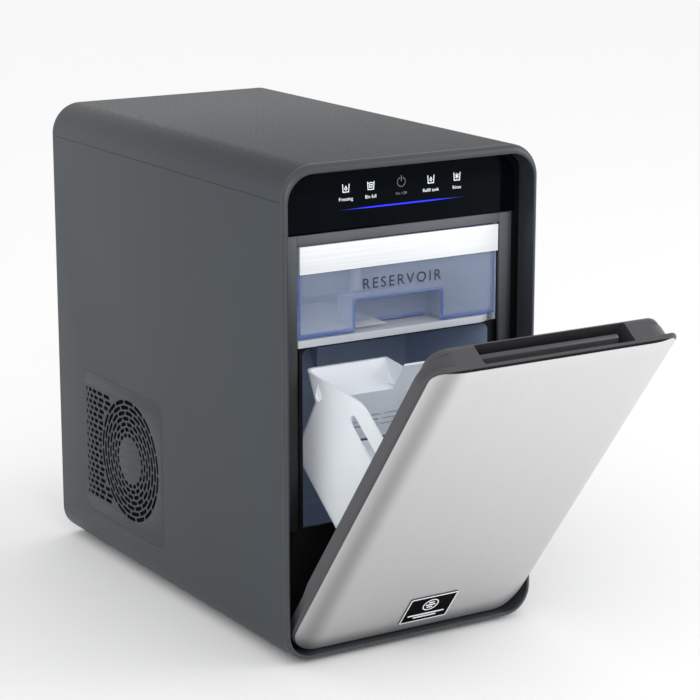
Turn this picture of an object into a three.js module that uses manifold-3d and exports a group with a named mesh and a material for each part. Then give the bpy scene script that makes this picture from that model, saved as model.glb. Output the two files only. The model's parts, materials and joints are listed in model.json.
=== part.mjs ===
// Countertop nugget ice maker: cabinet, tilting front door with its ice bucket,
// slide-out water tank, and the refrigeration, auger, fan and water parts inside.
//
// Millimetres, +X to the object's right, +Y to its back, +Z up. The cabinet frame has its
// origin at the middle of the cabinet's width, on the front plane, at the cabinet's underside.
// The door frame has x across, y as depth behind the steel face and z up along the door.
import * as THREE from 'three';
import { mergeVertices } from 'three/addons/utils/BufferGeometryUtils.js';
import Module from 'manifold-3d';

const wasm = await Module();
wasm.setup();

// ---------- driving dimensions: cabinet ----------
const WIDTH = 257.4;
const HEIGHT = 430;
const DEPTH = 441;
const TOP_RADIUS = 29;
const BASE_RADIUS = 26;
const SKIN = 2.2;            // thickness of the outer panels
const GAP = 0.3;             // air between touching pieces
const SEAM_Z = 400;          // lower edge of the top cover
const FLANGE = 5.4;          // depth of the front ring's rounded flange
const RING_DEPTH = 20;
const RING_SIDE = 4.7;       // width of the ring's front land at the sides and below
const RING_TOP = 8;          // the same at the top
const RING_INNER_TOP_RADIUS = 24;
const RING_INNER_BASE_RADIUS = 21;
const BASE_HALF = 99.7;      // half width of the flat base pan
const BACK_Y = 433.6;        // front face of the back panel
const FOOT_HEIGHT = 3;
const FOOT_RADIUS = 11;

// ---------- driving dimensions: front openings ----------
const GLASS_Y = 20;
const GLASS_HALF = 117.2;
const GLASS_BOTTOM = 368;
const GLASS_TOP = 418.3;
const FASCIA_Y = 21.5;
const FASCIA_THICK = 3;
const FASCIA_HALF = 117.5;
const FASCIA_TOP = 367.2;
const OPENING_HALF = 103;
const OPENING_TOP = 358.8;
const SILL_TOP = 111;        // lower edge of the front opening
const BULKHEAD_Y = 24.8;
const BULKHEAD_THICK = 3;
const SHELF_TOP = 276.9;
const SHELF_BOTTOM = 270.5;
const BAY_HALF = 95.5;       // inside half width of the bucket bay
const BAY_FLOOR = 82;
const BAY_BACK = 161;
const MELT_DRAIN = { x: -60, y: 120, radius: 4 };
const TANK_BAY_HALF = 102.4;
const TANK_BAY_BACK = 165;
const TANK_BAY_TOP = 361;

// ---------- driving dimensions: door ----------
const DOOR_OPEN_DEG = 37;
const DOOR_CLOSED_Y = -7.5;  // steel face of the closed door
const DOOR_CLOSED_Z = 7.3;   // lower edge of the steel on the closed door
const HINGE_Y = 2.54;
const HINGE_Z = 31.36;
const PIN_RADIUS = 1.5;
const DOOR_HALF = 121.3;
const DOOR_BOTTOM = -1;
const DOOR_TOP = 368.5;
const BEAD_BACK = 9;
const BODY_BACK = 18;
const HOUSING_BACK = 27;
const HOUSING_HALF = 113;
const FLANGE_BACK = 20;        // depth of the flanges down the door's sides
const FLANGE_INNER = 116.3;
const STEEL_HALF = 118.9;
const STEEL_TOP = 366;
const STEEL_FLAT_HALF = 90;
const STEEL_EDGE_DEPTH = 5.6;
const STEEL_THICK = 0.9;
const STEEL_RADIUS = 23;       // lower corners of the door's face
const STEEL_TOP_RADIUS = 12;
const STEEL_GAP = 0.5;       // dark gap between the steel's edge and the frame's bead
const POCKET_HALF = 73;
const POCKET_FRONT = 4.5;
const POCKET_BACK = 24.5;
const POCKET_FLOOR = 338;
const BADGE = { x: 10.5, z: 29.8, width: 49, height: 36 };

// ---------- driving dimensions: bucket, tank and machinery ----------
const BUCKET_HALF = 93;
const BUCKET_WALL = 2.2;
const SPOUT_END = -9.3;      // right end of the bucket's flared spout
const TANK_HALF = 101;
const TANK_FRONT = 24.2;
const TANK_BACK = 162;
const TANK_BOTTOM = 277.4;
const TANK_TOP = 357;
const TANK_WALL = 2.4;
const NOTCH = { half: 44, depth: 25, top: 304.5 };
const VALVE = { x: 31, y: 144 };
const BARREL = { x: -30, y: 222, radius: 28, bore: 21, bottom: 176, top: 316 };
const FAN = { y: 289.7, z: 111, radius: 54, bore: 57 };
const COIL = { front: 228, back: 352, bottom: 48, top: 172 };
const COMPRESSOR = { x: 52, y: 352, radius: 48, bottom: 12 };
const CHUTE = { left: -66, right: 2, wall: 1.6, bottom: 202, mouthTop: 259 };
const DRAIN = { x: -80, z: 22 };
const INLET = { x: 78, z: 60 };
const VENT = { front: 222, back: 386, bottom: 40, top: 180, radius: 12 };
const VENT_RINGS = { inner: 27, pitch: 10.6, count: 4, slots: 6, width: 4.4, web: 0.16 };

// ---------- materials ----------
const material = (color, roughness, metalness = 0) =>
  new THREE.MeshStandardMaterial({ color, roughness, metalness });
const cabinetGrey = material(0x5b6063, 0.5);
const ringGrey = material(0x33363a, 0.4);
const blackPlastic = material(0x101114, 0.5);
const blackGlass = material(0x05070a, 0.08);
const ledBlue = material(0x1020ff, 0.3);
const boardGreen = material(0x1c5a34, 0.6);
const linerBlue = material(0x46556e, 0.45);
const shelfGrey = material(0xa9adb3, 0.45);
const foamWhite = material(0xe8e8e2, 0.9);
const bucketWhite = material(0xe2e6ec, 0.4);
const tankBlue = material(0x7d95c8, 0.1);
const barWhite = material(0xf2f4f6, 0.25);
const steel = material(0xc4c4c4, 0.32, 1);
const darkFrame = material(0x46444a, 0.5);
const rubber = material(0x1b1b1b, 0.85);
const copper = material(0xb87343, 0.35, 1);
const aluminium = material(0xb9bcc0, 0.45, 1);
const compressorBlack = material(0x15161a, 0.45, 0.3);
const zinc = material(0xa7abb0, 0.4, 0.9);

// ---------- helpers ----------
const FINE = 6;              // straight steps in a rounded corner
const ROUND = 16;            // sides of a small cylinder

const outline = (points) => new THREE.Shape(points.map(([a, b]) => new THREE.Vector2(a, b)));

function circle(a, b, radius) {
  const shape = new THREE.Shape();
  shape.absarc(a, b, radius, 0, Math.PI * 2, false);
  return shape;
}

function roundedRect(left, bottom, right, top, topRadius, bottomRadius = topRadius) {
  const shape = new THREE.Shape();
  shape.moveTo(left + bottomRadius, bottom);
  shape.lineTo(right - bottomRadius, bottom);
  shape.absarc(right - bottomRadius, bottom + bottomRadius, bottomRadius, -Math.PI / 2, 0, false);
  shape.lineTo(right, top - topRadius);
  shape.absarc(right - topRadius, top - topRadius, topRadius, 0, Math.PI / 2, false);
  shape.lineTo(left + topRadius, top);
  shape.absarc(left + topRadius, top - topRadius, topRadius, Math.PI / 2, Math.PI, false);
  shape.lineTo(left, bottom + bottomRadius);
  shape.absarc(left + bottomRadius, bottom + bottomRadius, bottomRadius, Math.PI, Math.PI * 1.5, false);
  return shape;
}

function toSolid(geometry) {
  const plain = geometry.clone();
  plain.deleteAttribute('normal');
  plain.deleteAttribute('uv');
  const merged = mergeVertices(plain, 1e-4);
  return new wasm.Manifold(new wasm.Mesh({
    numProp: 3,
    vertProperties: new Float32Array(merged.attributes.position.array),
    triVerts: new Uint32Array(merged.index.array),
  }));
}

function toGeometry(solid) {
  const mesh = solid.getMesh();
  const geometry = new THREE.BufferGeometry();
  geometry.setAttribute('position', new THREE.BufferAttribute(new Float32Array(mesh.vertProperties), 3));
  geometry.setIndex(new THREE.BufferAttribute(new Uint32Array(mesh.triVerts), 1));
  return geometry;
}

function extrude(shape, depth, options = {}) {
  return new THREE.ExtrudeGeometry(shape, { depth, bevelEnabled: false, curveSegments: FINE, ...options });
}

// A 2D outline in (y, z), (x, z) or (x, y), swept along the axis in the function's name.
function alongX(shape, x0, x1, options) {
  const geometry = extrude(shape, x1 - x0, options);
  geometry.applyMatrix4(new THREE.Matrix4().set(0, 0, 1, x0, 1, 0, 0, 0, 0, 1, 0, 0, 0, 0, 0, 1));
  return toSolid(geometry);
}

function alongY(shape, y0, y1, options) {
  const geometry = extrude(shape, y1 - y0, options);
  geometry.applyMatrix4(new THREE.Matrix4().set(1, 0, 0, 0, 0, 0, -1, y1, 0, 1, 0, 0, 0, 0, 0, 1));
  return toSolid(geometry);
}

function alongZ(shape, z0, z1, options) {
  const geometry = extrude(shape, z1 - z0, options);
  geometry.translate(0, 0, z0);
  return toSolid(geometry);
}

function box(x0, x1, y0, y1, z0, z1) {
  const geometry = new THREE.BoxGeometry(x1 - x0, y1 - y0, z1 - z0);
  geometry.translate((x0 + x1) / 2, (y0 + y1) / 2, (z0 + z1) / 2);
  return toSolid(geometry);
}

function rod(axis, a, b, radius, from, to, sides = ROUND) {
  const geometry = new THREE.CylinderGeometry(radius, radius, to - from, sides);
  if (axis === 'x') geometry.rotateZ(-Math.PI / 2).translate((from + to) / 2, a, b);
  if (axis === 'y') geometry.translate(a, (from + to) / 2, b);
  if (axis === 'z') geometry.rotateX(Math.PI / 2).translate(a, b, (from + to) / 2);
  return toSolid(geometry);
}

const join = (...solids) => solids.reduce((whole, piece) => whole.add(piece));
const cut = (solid, ...tools) => tools.reduce((whole, tool) => whole.subtract(tool), solid);

const bothSides = [['left', -1], ['right', 1]];
const ice_maker = new THREE.Group();
const cabinet = new THREE.Group();
ice_maker.add(cabinet);

function place(group, name, solid, look) {
  const mesh = new THREE.Mesh(toGeometry(solid), look);
  mesh.name = name;
  group.add(mesh);
}

// Outline of the cabinet's cross-section, shrunk by an inset.
function cabinetOutline(inset) {
  const half = WIDTH / 2 - inset;
  return roundedRect(-half, inset, half, HEIGHT - inset, TOP_RADIUS - inset, BASE_RADIUS - inset);
}

// ---------- outer shell ----------
function frontRing() {
  const bevel = { bevelEnabled: true, bevelThickness: FLANGE, bevelSize: FLANGE, bevelSegments: 3 };
  const flange = alongY(cabinetOutline(FLANGE), FLANGE, RING_DEPTH, bevel);
  const wide = WIDTH;
  const flangeFront = cut(flange, box(-wide, wide, FLANGE, 2 * RING_DEPTH, -10, HEIGHT + 10));
  const sleeve = alongY(cabinetOutline(SKIN + 0.4), FLANGE, RING_DEPTH);
  const half = WIDTH / 2 - RING_SIDE;
  const mouth = roundedRect(-half, RING_SIDE - 0.1, half, HEIGHT - RING_TOP,
    RING_INNER_TOP_RADIUS, RING_INNER_BASE_RADIUS);
  const socket = rod('x', HINGE_Y, HINGE_Z, PIN_RADIUS + 0.2, -125.6, 125.6);
  return cut(join(flangeFront, sleeve), alongY(mouth, -1, RING_DEPTH + 1), socket);
}

function topCover() {
  const half = WIDTH / 2;
  const corner = HEIGHT - TOP_RADIUS;
  const centre = half - TOP_RADIUS;
  const low = SEAM_Z + GAP / 2;
  const inner = TOP_RADIUS - SKIN;
  const shape = new THREE.Shape();
  shape.moveTo(-half, low);
  shape.lineTo(-half, corner);
  shape.absarc(-centre, corner, TOP_RADIUS, Math.PI, Math.PI / 2, true);
  shape.lineTo(centre, HEIGHT);
  shape.absarc(centre, corner, TOP_RADIUS, Math.PI / 2, 0, true);
  shape.lineTo(half, low);
  shape.lineTo(half - SKIN, low);
  shape.lineTo(half - SKIN, corner);
  shape.absarc(centre, corner, inner, 0, Math.PI / 2, false);
  shape.lineTo(-centre, HEIGHT - SKIN);
  shape.absarc(-centre, corner, inner, Math.PI / 2, Math.PI, false);
  shape.lineTo(-half + SKIN, low);
  return alongY(shape, FLANGE + GAP, DEPTH);
}

function sidePanel(side) {
  const half = WIDTH / 2;
  const high = SEAM_Z - GAP / 2;
  const centre = half - BASE_RADIUS;
  const foot = BASE_HALF + GAP;
  const shape = new THREE.Shape();
  shape.moveTo(-half, high);
  shape.lineTo(-half, BASE_RADIUS);
  shape.absarc(-centre, BASE_RADIUS, BASE_RADIUS, Math.PI, Math.PI * 1.5, false);
  shape.lineTo(-foot, 0);
  shape.lineTo(-foot, SKIN);
  shape.lineTo(-centre, SKIN);
  shape.absarc(-centre, BASE_RADIUS, BASE_RADIUS - SKIN, Math.PI * 1.5, Math.PI, true);
  shape.lineTo(-half + SKIN, high);
  const opening = roundedRect(VENT.front, VENT.bottom, VENT.back, VENT.top, VENT.radius);
  const left = cut(alongY(shape, FLANGE + GAP, DEPTH), alongX(opening, -half - 5, -half + 10));
  return side < 0 ? left : left.mirror([1, 0, 0]);
}

// Round-ended slots on rings around the fan, and rows of straight slots behind them.
function ventGrille(side) {
  const half = WIDTH / 2;
  const { front, back, bottom, top, radius } = VENT;
  const inset = (amount) =>
    roundedRect(front + amount, bottom + amount, back - amount, top - amount, radius - amount);
  const face = alongX(inset(GAP), -half, -half + SKIN);
  const lip = alongX(inset(-4), -half + SKIN + GAP, -half + SKIN + 1.5);
  const neck = alongX(inset(2), -half + 1, -half + SKIN + 1);
  let grille = join(face, lip, neck);
  for (let ring = 0; ring < VENT_RINGS.count; ring += 1) {
    const middle = VENT_RINGS.inner + ring * VENT_RINGS.pitch;
    const step = (Math.PI * 2) / VENT_RINGS.slots;
    for (let slot = 0; slot < VENT_RINGS.slots; slot += 1) {
      const start = step * (slot + (ring % 2) / 2);
      const arc = new THREE.Shape();
      arc.absarc(FAN.y, FAN.z, middle + VENT_RINGS.width / 2, start, start + step - VENT_RINGS.web, false);
      arc.absarc(FAN.y, FAN.z, middle - VENT_RINGS.width / 2, start + step - VENT_RINGS.web, start, true);
      grille = cut(grille, alongX(arc, -half - 1, -half + 6, { curveSegments: 3 }));
    }
  }
  for (let row = 0; row < 9; row += 1) {
    const z = bottom + 18 + row * 13;
    grille = cut(grille, alongX(roundedRect(357, z - 2, 377, z + 2, 0.5), -half - 1, -half + 6,
      { curveSegments: 1 }));
  }
  return side < 0 ? grille : grille.mirror([1, 0, 0]);
}

function backPanel() {
  const holes = [
    box(INLET.x - 14.3, INLET.x + 14.3, BACK_Y - 1, BACK_Y + 5, INLET.z - 10.8, INLET.z + 10.8),
    rod('y', DRAIN.x, DRAIN.z, 9.4, BACK_Y - 1, BACK_Y + 5),
  ];
  for (let column = 0; column < 7; column += 1) {
    for (const low of [230, 300]) {
      const x = -75 + column * 25;
      holes.push(alongY(roundedRect(x - 3, low, x + 3, low + 55, 2.5), BACK_Y - 1, BACK_Y + 5,
        { curveSegments: 2 }));
    }
  }
  return cut(alongY(cabinetOutline(SKIN + GAP), BACK_Y, BACK_Y + 2.4), ...holes);
}

// ---------- front structure ----------
function innerFascia() {
  const plate = box(-FASCIA_HALF, FASCIA_HALF, FASCIA_Y, FASCIA_Y + FASCIA_THICK, SILL_TOP, FASCIA_TOP);
  const mouth = box(-OPENING_HALF, OPENING_HALF, 0, 50, 0, OPENING_TOP);
  const seats = bothSides.map(([, side]) =>
    box(side * 88 - 10.3, side * 88 + 10.3, FASCIA_Y + 1, 50, 360.2, 366.3));
  return cut(plate, mouth, ...seats);
}

function strikePlate(side) {
  return box(side * 88 - 10, side * 88 + 10, FASCIA_Y + 1.3, FASCIA_Y + FASCIA_THICK - 0.1, 360.5, 366);
}

function frontBulkhead() {
  const back = BULKHEAD_Y + BULKHEAD_THICK;
  const plate = cut(
    alongY(cabinetOutline(SKIN + 1), BULKHEAD_Y, back),
    box(-104.6, 104.6, 0, 50, SILL_TOP, 363.5),
  );
  const frame = cut(
    box(-112, 112, back - 0.5, back + 1.8, BAY_FLOOR - 12, SHELF_BOTTOM - GAP),
    box(-BAY_HALF - 2.3, BAY_HALF + 2.3, 0, 50, BAY_FLOOR - 2.3, HEIGHT),
  );
  return join(plate, cut(frame, box(-104.6, 104.6, 0, back, SILL_TOP, HEIGHT)));
}

function controlGlass() {
  const face = roundedRect(-GLASS_HALF, GLASS_BOTTOM, GLASS_HALF, GLASS_TOP, 20, 1.5);
  return cut(alongY(face, GLASS_Y, GLASS_Y + 3), box(-66, 66, GLASS_Y - 1, GLASS_Y + 1.2, 384, 386.6));
}

function tankBayLiner() {
  const front = BULKHEAD_Y + BULKHEAD_THICK + GAP;
  const wall = 1.9;
  return cut(
    box(-TANK_BAY_HALF - wall, TANK_BAY_HALF + wall, front, TANK_BAY_BACK + wall,
      SHELF_BOTTOM, TANK_BAY_TOP + wall),
    box(-TANK_BAY_HALF, TANK_BAY_HALF, 0, TANK_BAY_BACK, 200, TANK_BAY_TOP),
  );
}

function tankShelf() {
  const half = TANK_BAY_HALF - GAP;
  const shape = new THREE.Shape();
  shape.moveTo(-half, 22);
  shape.lineTo(half - 22, 22);
  shape.absarc(half - 22, 44, 22, -Math.PI / 2, 0, false);
  shape.lineTo(half, TANK_BAY_BACK - GAP);
  shape.lineTo(-half, TANK_BAY_BACK - GAP);
  return cut(alongZ(shape, SHELF_BOTTOM, SHELF_TOP), rod('z', VALVE.x, VALVE.y, 9, 200, 300));
}

const chuteMouth = () => box(CHUTE.left + 2, CHUTE.right - 2, 150, 200, CHUTE.bottom, CHUTE.mouthTop);
const meltDrain = () => rod('z', MELT_DRAIN.x, MELT_DRAIN.y, MELT_DRAIN.radius, 50, 100, 12);

function bucketBayLiner() {
  const outer = BAY_HALF + 2;
  const front = BULKHEAD_Y + BULKHEAD_THICK;
  return cut(
    box(-outer, outer, front, BAY_BACK + 2, BAY_FLOOR - 2, SHELF_BOTTOM - GAP),
    box(-BAY_HALF, BAY_HALF, 0, BAY_BACK, BAY_FLOOR, 300),
    chuteMouth(),
    meltDrain(),
    rod('y', VALVE.x, 262, 5, 150, 200),
  );
}

function insulationJacket() {
  const inner = BAY_HALF + 2 + GAP;
  return cut(
    box(-112, 112, 30, 175, BAY_FLOOR - 14, SHELF_BOTTOM - 0.7),
    box(-inner, inner, 0, BAY_BACK + 2 + GAP, BAY_FLOOR - 2 - GAP, 300),
    box(CHUTE.left - 2, CHUTE.right + 2, 150, 200, CHUTE.bottom - 6, 300),
    meltDrain(),
    rod('y', VALVE.x, 262, 5, 150, 200),
  );
}

// The chute drops ice from the extruder down behind the tank bay and into the bucket bay.
function iceChute() {
  const { bottom, mouthTop } = CHUTE;
  const outer = outline([[168.2, 348], [188.5, 348], [188.5, bottom + 46], [163.4, bottom - 1],
    [163.4, mouthTop + 2], [168.2, mouthTop + 8.5]]);
  const inner = outline([[169.8, 346.4], [186.9, 346.4], [186.9, bottom + 46.4], [162.5, bottom + 0.7],
    [162.5, mouthTop + 0.4], [164.8, mouthTop + 0.4], [169.8, mouthTop + 7.6]]);
  return cut(
    alongX(outer, CHUTE.left, CHUTE.right),
    alongX(inner, CHUTE.left + CHUTE.wall, CHUTE.right - CHUTE.wall),
    box(BARREL.x - 16, BARREL.x + 16, 180, 195, 318, 342),
  );
}

// ---------- water circuit ----------
function valveSeat() {
  return cut(
    join(rod('z', VALVE.x, VALVE.y, 8.6, 258, SHELF_TOP - 0.2), rod('y', VALVE.x, 262, 4.6, VALVE.y, 182)),
    rod('z', VALVE.x, VALVE.y, 6, 260, 300),
    rod('y', VALVE.x, 262, 3, VALVE.y, 190),
  );
}

function waterReservoir() {
  return cut(box(-80, 80, 40, 165, 10, 62), box(-78, 78, 42, 163, 12, 70));
}

function waterPump() {
  return join(rod('z', 60, 194, 18, 8, 46), rod('z', 60, 194, 5, 45, 60), rod('y', 60, 24, 4, 165.3, 178));
}

// ---------- refrigeration and drive ----------
function tube(points, radius, steps) {
  const path = new THREE.CatmullRomCurve3(points.map((point) => new THREE.Vector3(...point)));
  const geometry = new THREE.ExtrudeGeometry(circle(0, 0, radius),
    { steps, extrudePath: path, curveSegments: 8 });
  return toSolid(geometry);
}

function compressor() {
  const r = COMPRESSOR.radius;
  const profile = [[0, 0], [r - 8, 0], [r, 9], [r, 62], [r + 2, 63], [r + 2, 67], [r, 68], [r, 112],
    [r - 12, 134], [0, 140]];
  const geometry = new THREE.LatheGeometry(profile.map(([a, b]) => new THREE.Vector2(a, b)), 20);
  geometry.rotateX(Math.PI / 2).translate(COMPRESSOR.x, COMPRESSOR.y, COMPRESSOR.bottom);
  return toSolid(geometry);
}

function compressorBracket() {
  const { x, y } = COMPRESSOR;
  const legs = [[-43, -40], [43, -40], [0, 48]].map(([a, b]) => rod('z', x + a, y + b, 7, SKIN + GAP, 10));
  const plate = alongZ(outline([[x - 60, y - 50], [x + 60, y - 50], [x + 60, y], [x + 14, y + 58],
    [x - 14, y + 58], [x - 60, y]]), 9, 11.7);
  return join(plate, ...legs);
}

function condenser() {
  const points = [];
  const fins = 12;
  const pitch = (COIL.back - COIL.front) / fins;
  for (let fin = 0; fin < fins; fin += 1) {
    const y = COIL.front + fin * pitch;
    points.push([-122, y], [-122, y + 4], [-114, y + 4], [-114, y + pitch]);
  }
  points.push([-101, COIL.back], [-101, COIL.front]);
  return alongZ(outline(points), COIL.bottom, COIL.top);
}

function fanShroud() {
  const plate = box(-99.5, -97.3, COIL.front, COIL.back, COIL.bottom, COIL.top);
  const collar = rod('x', FAN.y, FAN.z, FAN.bore + 2.2, -98, -80, 32);
  return cut(join(plate, collar), rod('x', FAN.y, FAN.z, FAN.bore, -105, -70, 32));
}

function fanRotor() {
  let rotor = rod('x', FAN.y, FAN.z, 17, -95, -82.3, 20);
  for (let blade = 0; blade < 5; blade += 1) {
    const geometry = new THREE.BoxGeometry(2, 30, FAN.radius - 14);
    geometry.translate(0, 0, (FAN.radius + 14) / 2);
    geometry.rotateZ(1.2);
    geometry.rotateX((blade / 5) * Math.PI * 2);
    geometry.translate(-88.7, FAN.y, FAN.z);
    rotor = rotor.add(toSolid(geometry));
  }
  const ring = rod('x', FAN.y, FAN.z, FAN.radius, -95, -82.3, 32);
  return rotor.intersect(ring);
}

function fanMotor() {
  const can = join(rod('x', FAN.y, FAN.z, 18, -78.5, -54, 20), rod('x', FAN.y, FAN.z, 3, -82, -78));
  const arms = [0, 1, 2].map((index) => {
    const geometry = new THREE.BoxGeometry(2.5, 9, FAN.bore - 14);
    geometry.translate(0, 0, (FAN.bore + 16) / 2);
    geometry.rotateX((index / 3) * Math.PI * 2 + 0.3);
    geometry.translate(-77.5, FAN.y, FAN.z);
    return toSolid(geometry);
  });
  return join(can, ...arms);
}

function evaporatorBarrel() {
  const { x, y, radius, bore, bottom, top } = BARREL;
  return cut(
    rod('z', x, y, radius, bottom, top, 24),
    rod('z', x, y, bore, bottom + 3, top + 1, 20),
    rod('z', x, y, 7, bottom - 1, bottom + 4),
  );
}

// A two-start screw: a flat lobe turned about its axis as it rises.
function auger() {
  const { x, y, bore, bottom, top } = BARREL;
  const from = bottom + 5;
  const height = top - 4 - from;
  const lobe = new THREE.Shape();
  lobe.absellipse(0, 0, bore - 2, 8, 0, Math.PI * 2, false, 0);
  const geometry = extrude(lobe, height, { steps: 18, curveSegments: 6 });
  const position = geometry.attributes.position;
  for (let index = 0; index < position.count; index += 1) {
    const point = new THREE.Vector3().fromBufferAttribute(position, index);
    point.applyAxisAngle(new THREE.Vector3(0, 0, 1), (point.z / height) * Math.PI * 2.5);
    position.setXYZ(index, point.x, point.y, point.z);
  }
  geometry.translate(x, y, from);
  return join(toSolid(geometry), rod('z', x, y, 6, bottom - 6, from + 2));
}

function extruderHead() {
  const { x, y, radius, top } = BARREL;
  const base = top + GAP;
  return join(
    rod('z', x, y, radius, base, base + 4, 24),
    rod('z', x, y, radius - 5, base + 3, 340, 24),
    box(x - 12, x + 12, 189.5, y, 322, 338),
  );
}

function gearMotor() {
  const { x, y, bottom } = BARREL;
  return join(
    box(x - 32, x + 32, y - 28, y + 28, 140, bottom - 6.4),
    rod('z', x, y, 25, 84, 141, 20),
  );
}

// ---------- door ----------
// Section between two depths behind the steel's face, which is flat over most of the door
// and sweeps back along its left and right edges.
function doorSection(front, back, half) {
  const steps = 6;
  const edge = (offset) => {
    const right = [];
    for (let step = 0; step <= steps; step += 1) {
      const x = STEEL_FLAT_HALF + ((half - STEEL_FLAT_HALF) * step) / steps;
      const t = (x - STEEL_FLAT_HALF) / (STEEL_HALF - STEEL_FLAT_HALF);
      right.push([x, STEEL_EDGE_DEPTH * t * t + offset]);
    }
    return [...right.map(([x, depth]) => [-x, depth]).reverse(), ...right];
  };
  return outline([...edge(front), ...edge(back).reverse()]);
}

function doorFrame() {
  const bead = alongY(roundedRect(-DOOR_HALF, DOOR_BOTTOM, DOOR_HALF, DOOR_TOP, 14, 25), -5, BEAD_BACK);
  const face = alongZ(doorSection(0.7, BEAD_BACK + 5, DOOR_HALF + 1), DOOR_BOTTOM - 1, DOOR_TOP + 1);
  const grow = STEEL_GAP;
  const steelSeat = alongY(
    roundedRect(-STEEL_HALF - grow, -grow, STEEL_HALF + grow, STEEL_TOP + grow,
      STEEL_TOP_RADIUS + grow, STEEL_RADIUS + grow), -5, BEAD_BACK);
  const steelBack = alongZ(doorSection(-9, STEEL_THICK + GAP, DOOR_HALF + 1), -5, DOOR_TOP + 5);
  const half = DOOR_HALF - 1.5;
  const body = roundedRect(-half, DOOR_BOTTOM + 0.5, half, DOOR_TOP - 0.5, 26, 23);
  const housing = outline([[BODY_BACK - 1, 322], [HOUSING_BACK, 334], [HOUSING_BACK, DOOR_TOP - 3],
    [HOUSING_BACK - 2, DOOR_TOP - 0.5], [BODY_BACK - 1, DOOR_TOP - 0.5]]);
  const housingFace = roundedRect(-HOUSING_HALF, 300, HOUSING_HALF, DOOR_TOP - 0.5, 16, 4);
  const flange = outline([
    [BODY_BACK - 1, 56], [FLANGE_BACK, 76], [FLANGE_BACK, DOOR_TOP], [BODY_BACK - 1, DOOR_TOP]]);
  const flanges = alongX(flange, -half, half).subtract(box(-FLANGE_INNER, FLANGE_INNER, 0, 60, 0, 336));
  const whole = join(
    cut(bead.intersect(face), steelSeat.intersect(steelBack)),
    alongY(body, BEAD_BACK - 0.5, BODY_BACK),
    alongX(housing, -half, half).intersect(alongY(housingFace, 0, 60)),
    flanges.intersect(alongY(body, 0, 60)),
  );
  const hollow = roundedRect(-FLANGE_INNER, 3, FLANGE_INNER, 330, 0.5, 20);
  const hollows = bothSides.map(([, side]) =>
    box(Math.min(side * 81, side * 112), Math.max(side * 81, side * 112), -5, 15, 336, 352));
  const magnets = bothSides.map(([, side]) =>
    box(side * 88 - 10.3, side * 88 + 10.3, HOUSING_BACK - 2.3, 50, 351.2, 359.8));
  return cut(
    whole,
    alongY(hollow, -5, 30).subtract(box(-200, 200, 0, 60, 318, 400)),
    box(-FLANGE_INNER, FLANGE_INNER, -5, BODY_BACK - 3, 317, 330),
    box(-POCKET_HALF, POCKET_HALF, POCKET_FRONT, POCKET_BACK, POCKET_FLOOR, 400),
    rod('x', HINGE_Y - DOOR_CLOSED_Y, HINGE_Z - DOOR_CLOSED_Z, PIN_RADIUS + 0.2, -130, 130),
    ...hollows,
    ...magnets,
  );
}

function doorSteelPanel() {
  const sheet = alongZ(doorSection(0, STEEL_THICK, STEEL_HALF + 1), -1, STEEL_TOP + 1);
  const outer = roundedRect(-STEEL_HALF, 0, STEEL_HALF, STEEL_TOP, STEEL_TOP_RADIUS, STEEL_RADIUS);
  return sheet.intersect(alongY(outer, -5, 30));
}

function doorBackPanel() {
  const plate = alongY(roundedRect(-115.9, 3.4, 115.9, 317.6, 0.5, 19.5), 15.7, BODY_BACK);
  const ledge = box(-80, 80, BODY_BACK - 0.5, 30, 100, 106.6);
  return join(plate, ledge);
}

function badgePlate() {
  const { x, z, width, height } = BADGE;
  return alongY(roundedRect(x - width / 2, z - height / 2, x + width / 2, z + height / 2, 1.5), -1.5, -GAP,
    { curveSegments: 2 });
}

// Lip along the handle pocket: it scoops down behind the front wall and rises to a rounded crest.
function handleLip() {
  const shape = new THREE.Shape();
  const front = POCKET_FRONT + GAP;
  const crest = { depth: 14.5, up: 362.5, radius: 3.3 };
  shape.moveTo(front, 350);
  shape.lineTo(16, 350);
  shape.absarc(crest.depth, crest.up, crest.radius, -0.1, 2.3, false);
  shape.quadraticCurveTo(9.5, 358.5, front, 357.5);
  return alongX(shape, -POCKET_HALF + GAP, 62);
}

// ---------- bucket ----------
// The left part of the back wall flares out into a spout; the right part stands up straight.
function iceBucket() {
  const wall = BUCKET_WALL;
  const inner = BUCKET_HALF - wall;
  const frontAndRim = [[84, 232], [75, 234.5], [20.5, 234.5]];
  const base = [[20.5, 107], [134, 107], [138.5, 170.7]];
  const flared = outline([...base, [163.5, 183], [141, 198], ...frontAndRim]);
  const straight = outline([...base, [140.4, 199.2], [132.5, 199.2], ...frontAndRim]);
  const floor = [[20.5 + wall, 107 + wall], [134 - wall, 107 + wall], [136.2, 172.4]];
  const flaredInside = outline([...floor, [170, 189], [170, 300], [20.5 + wall, 300]]);
  const straightInside = outline([...floor, [142, 255], [142, 300], [20.5 + wall, 300]]);
  const slot = roundedRect(30, 203.5, 88, 213, 4.7);
  const eye = outline([[127.6, 182], [130, 179.2], [134, 179.2], [136.6, 182], [139.4, 191.4], [131, 189]]);
  const drains = [];
  for (let column = 0; column < 5; column += 1) {
    const x = -57 + column * 30;
    for (let row = 0; row < 3; row += 1) {
      const z = 128.1 + row * 6.5;
      drains.push(box(x - 13, x + 13, 125, 150, z - 0.9, z + 0.9));
    }
    drains.push(box(x - 13, x + 13, 130.5, 150, 100, 112));
  }
  return cut(
    join(alongX(flared, -BUCKET_HALF, SPOUT_END), alongX(straight, SPOUT_END - 1, BUCKET_HALF)),
    alongX(flaredInside, -inner, SPOUT_END - wall),
    alongX(straightInside, -inner, inner),
    alongX(slot, -100, 100, { curveSegments: 3 }),
    alongX(eye, -100, -84),
    ...drains,
  );
}

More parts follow.
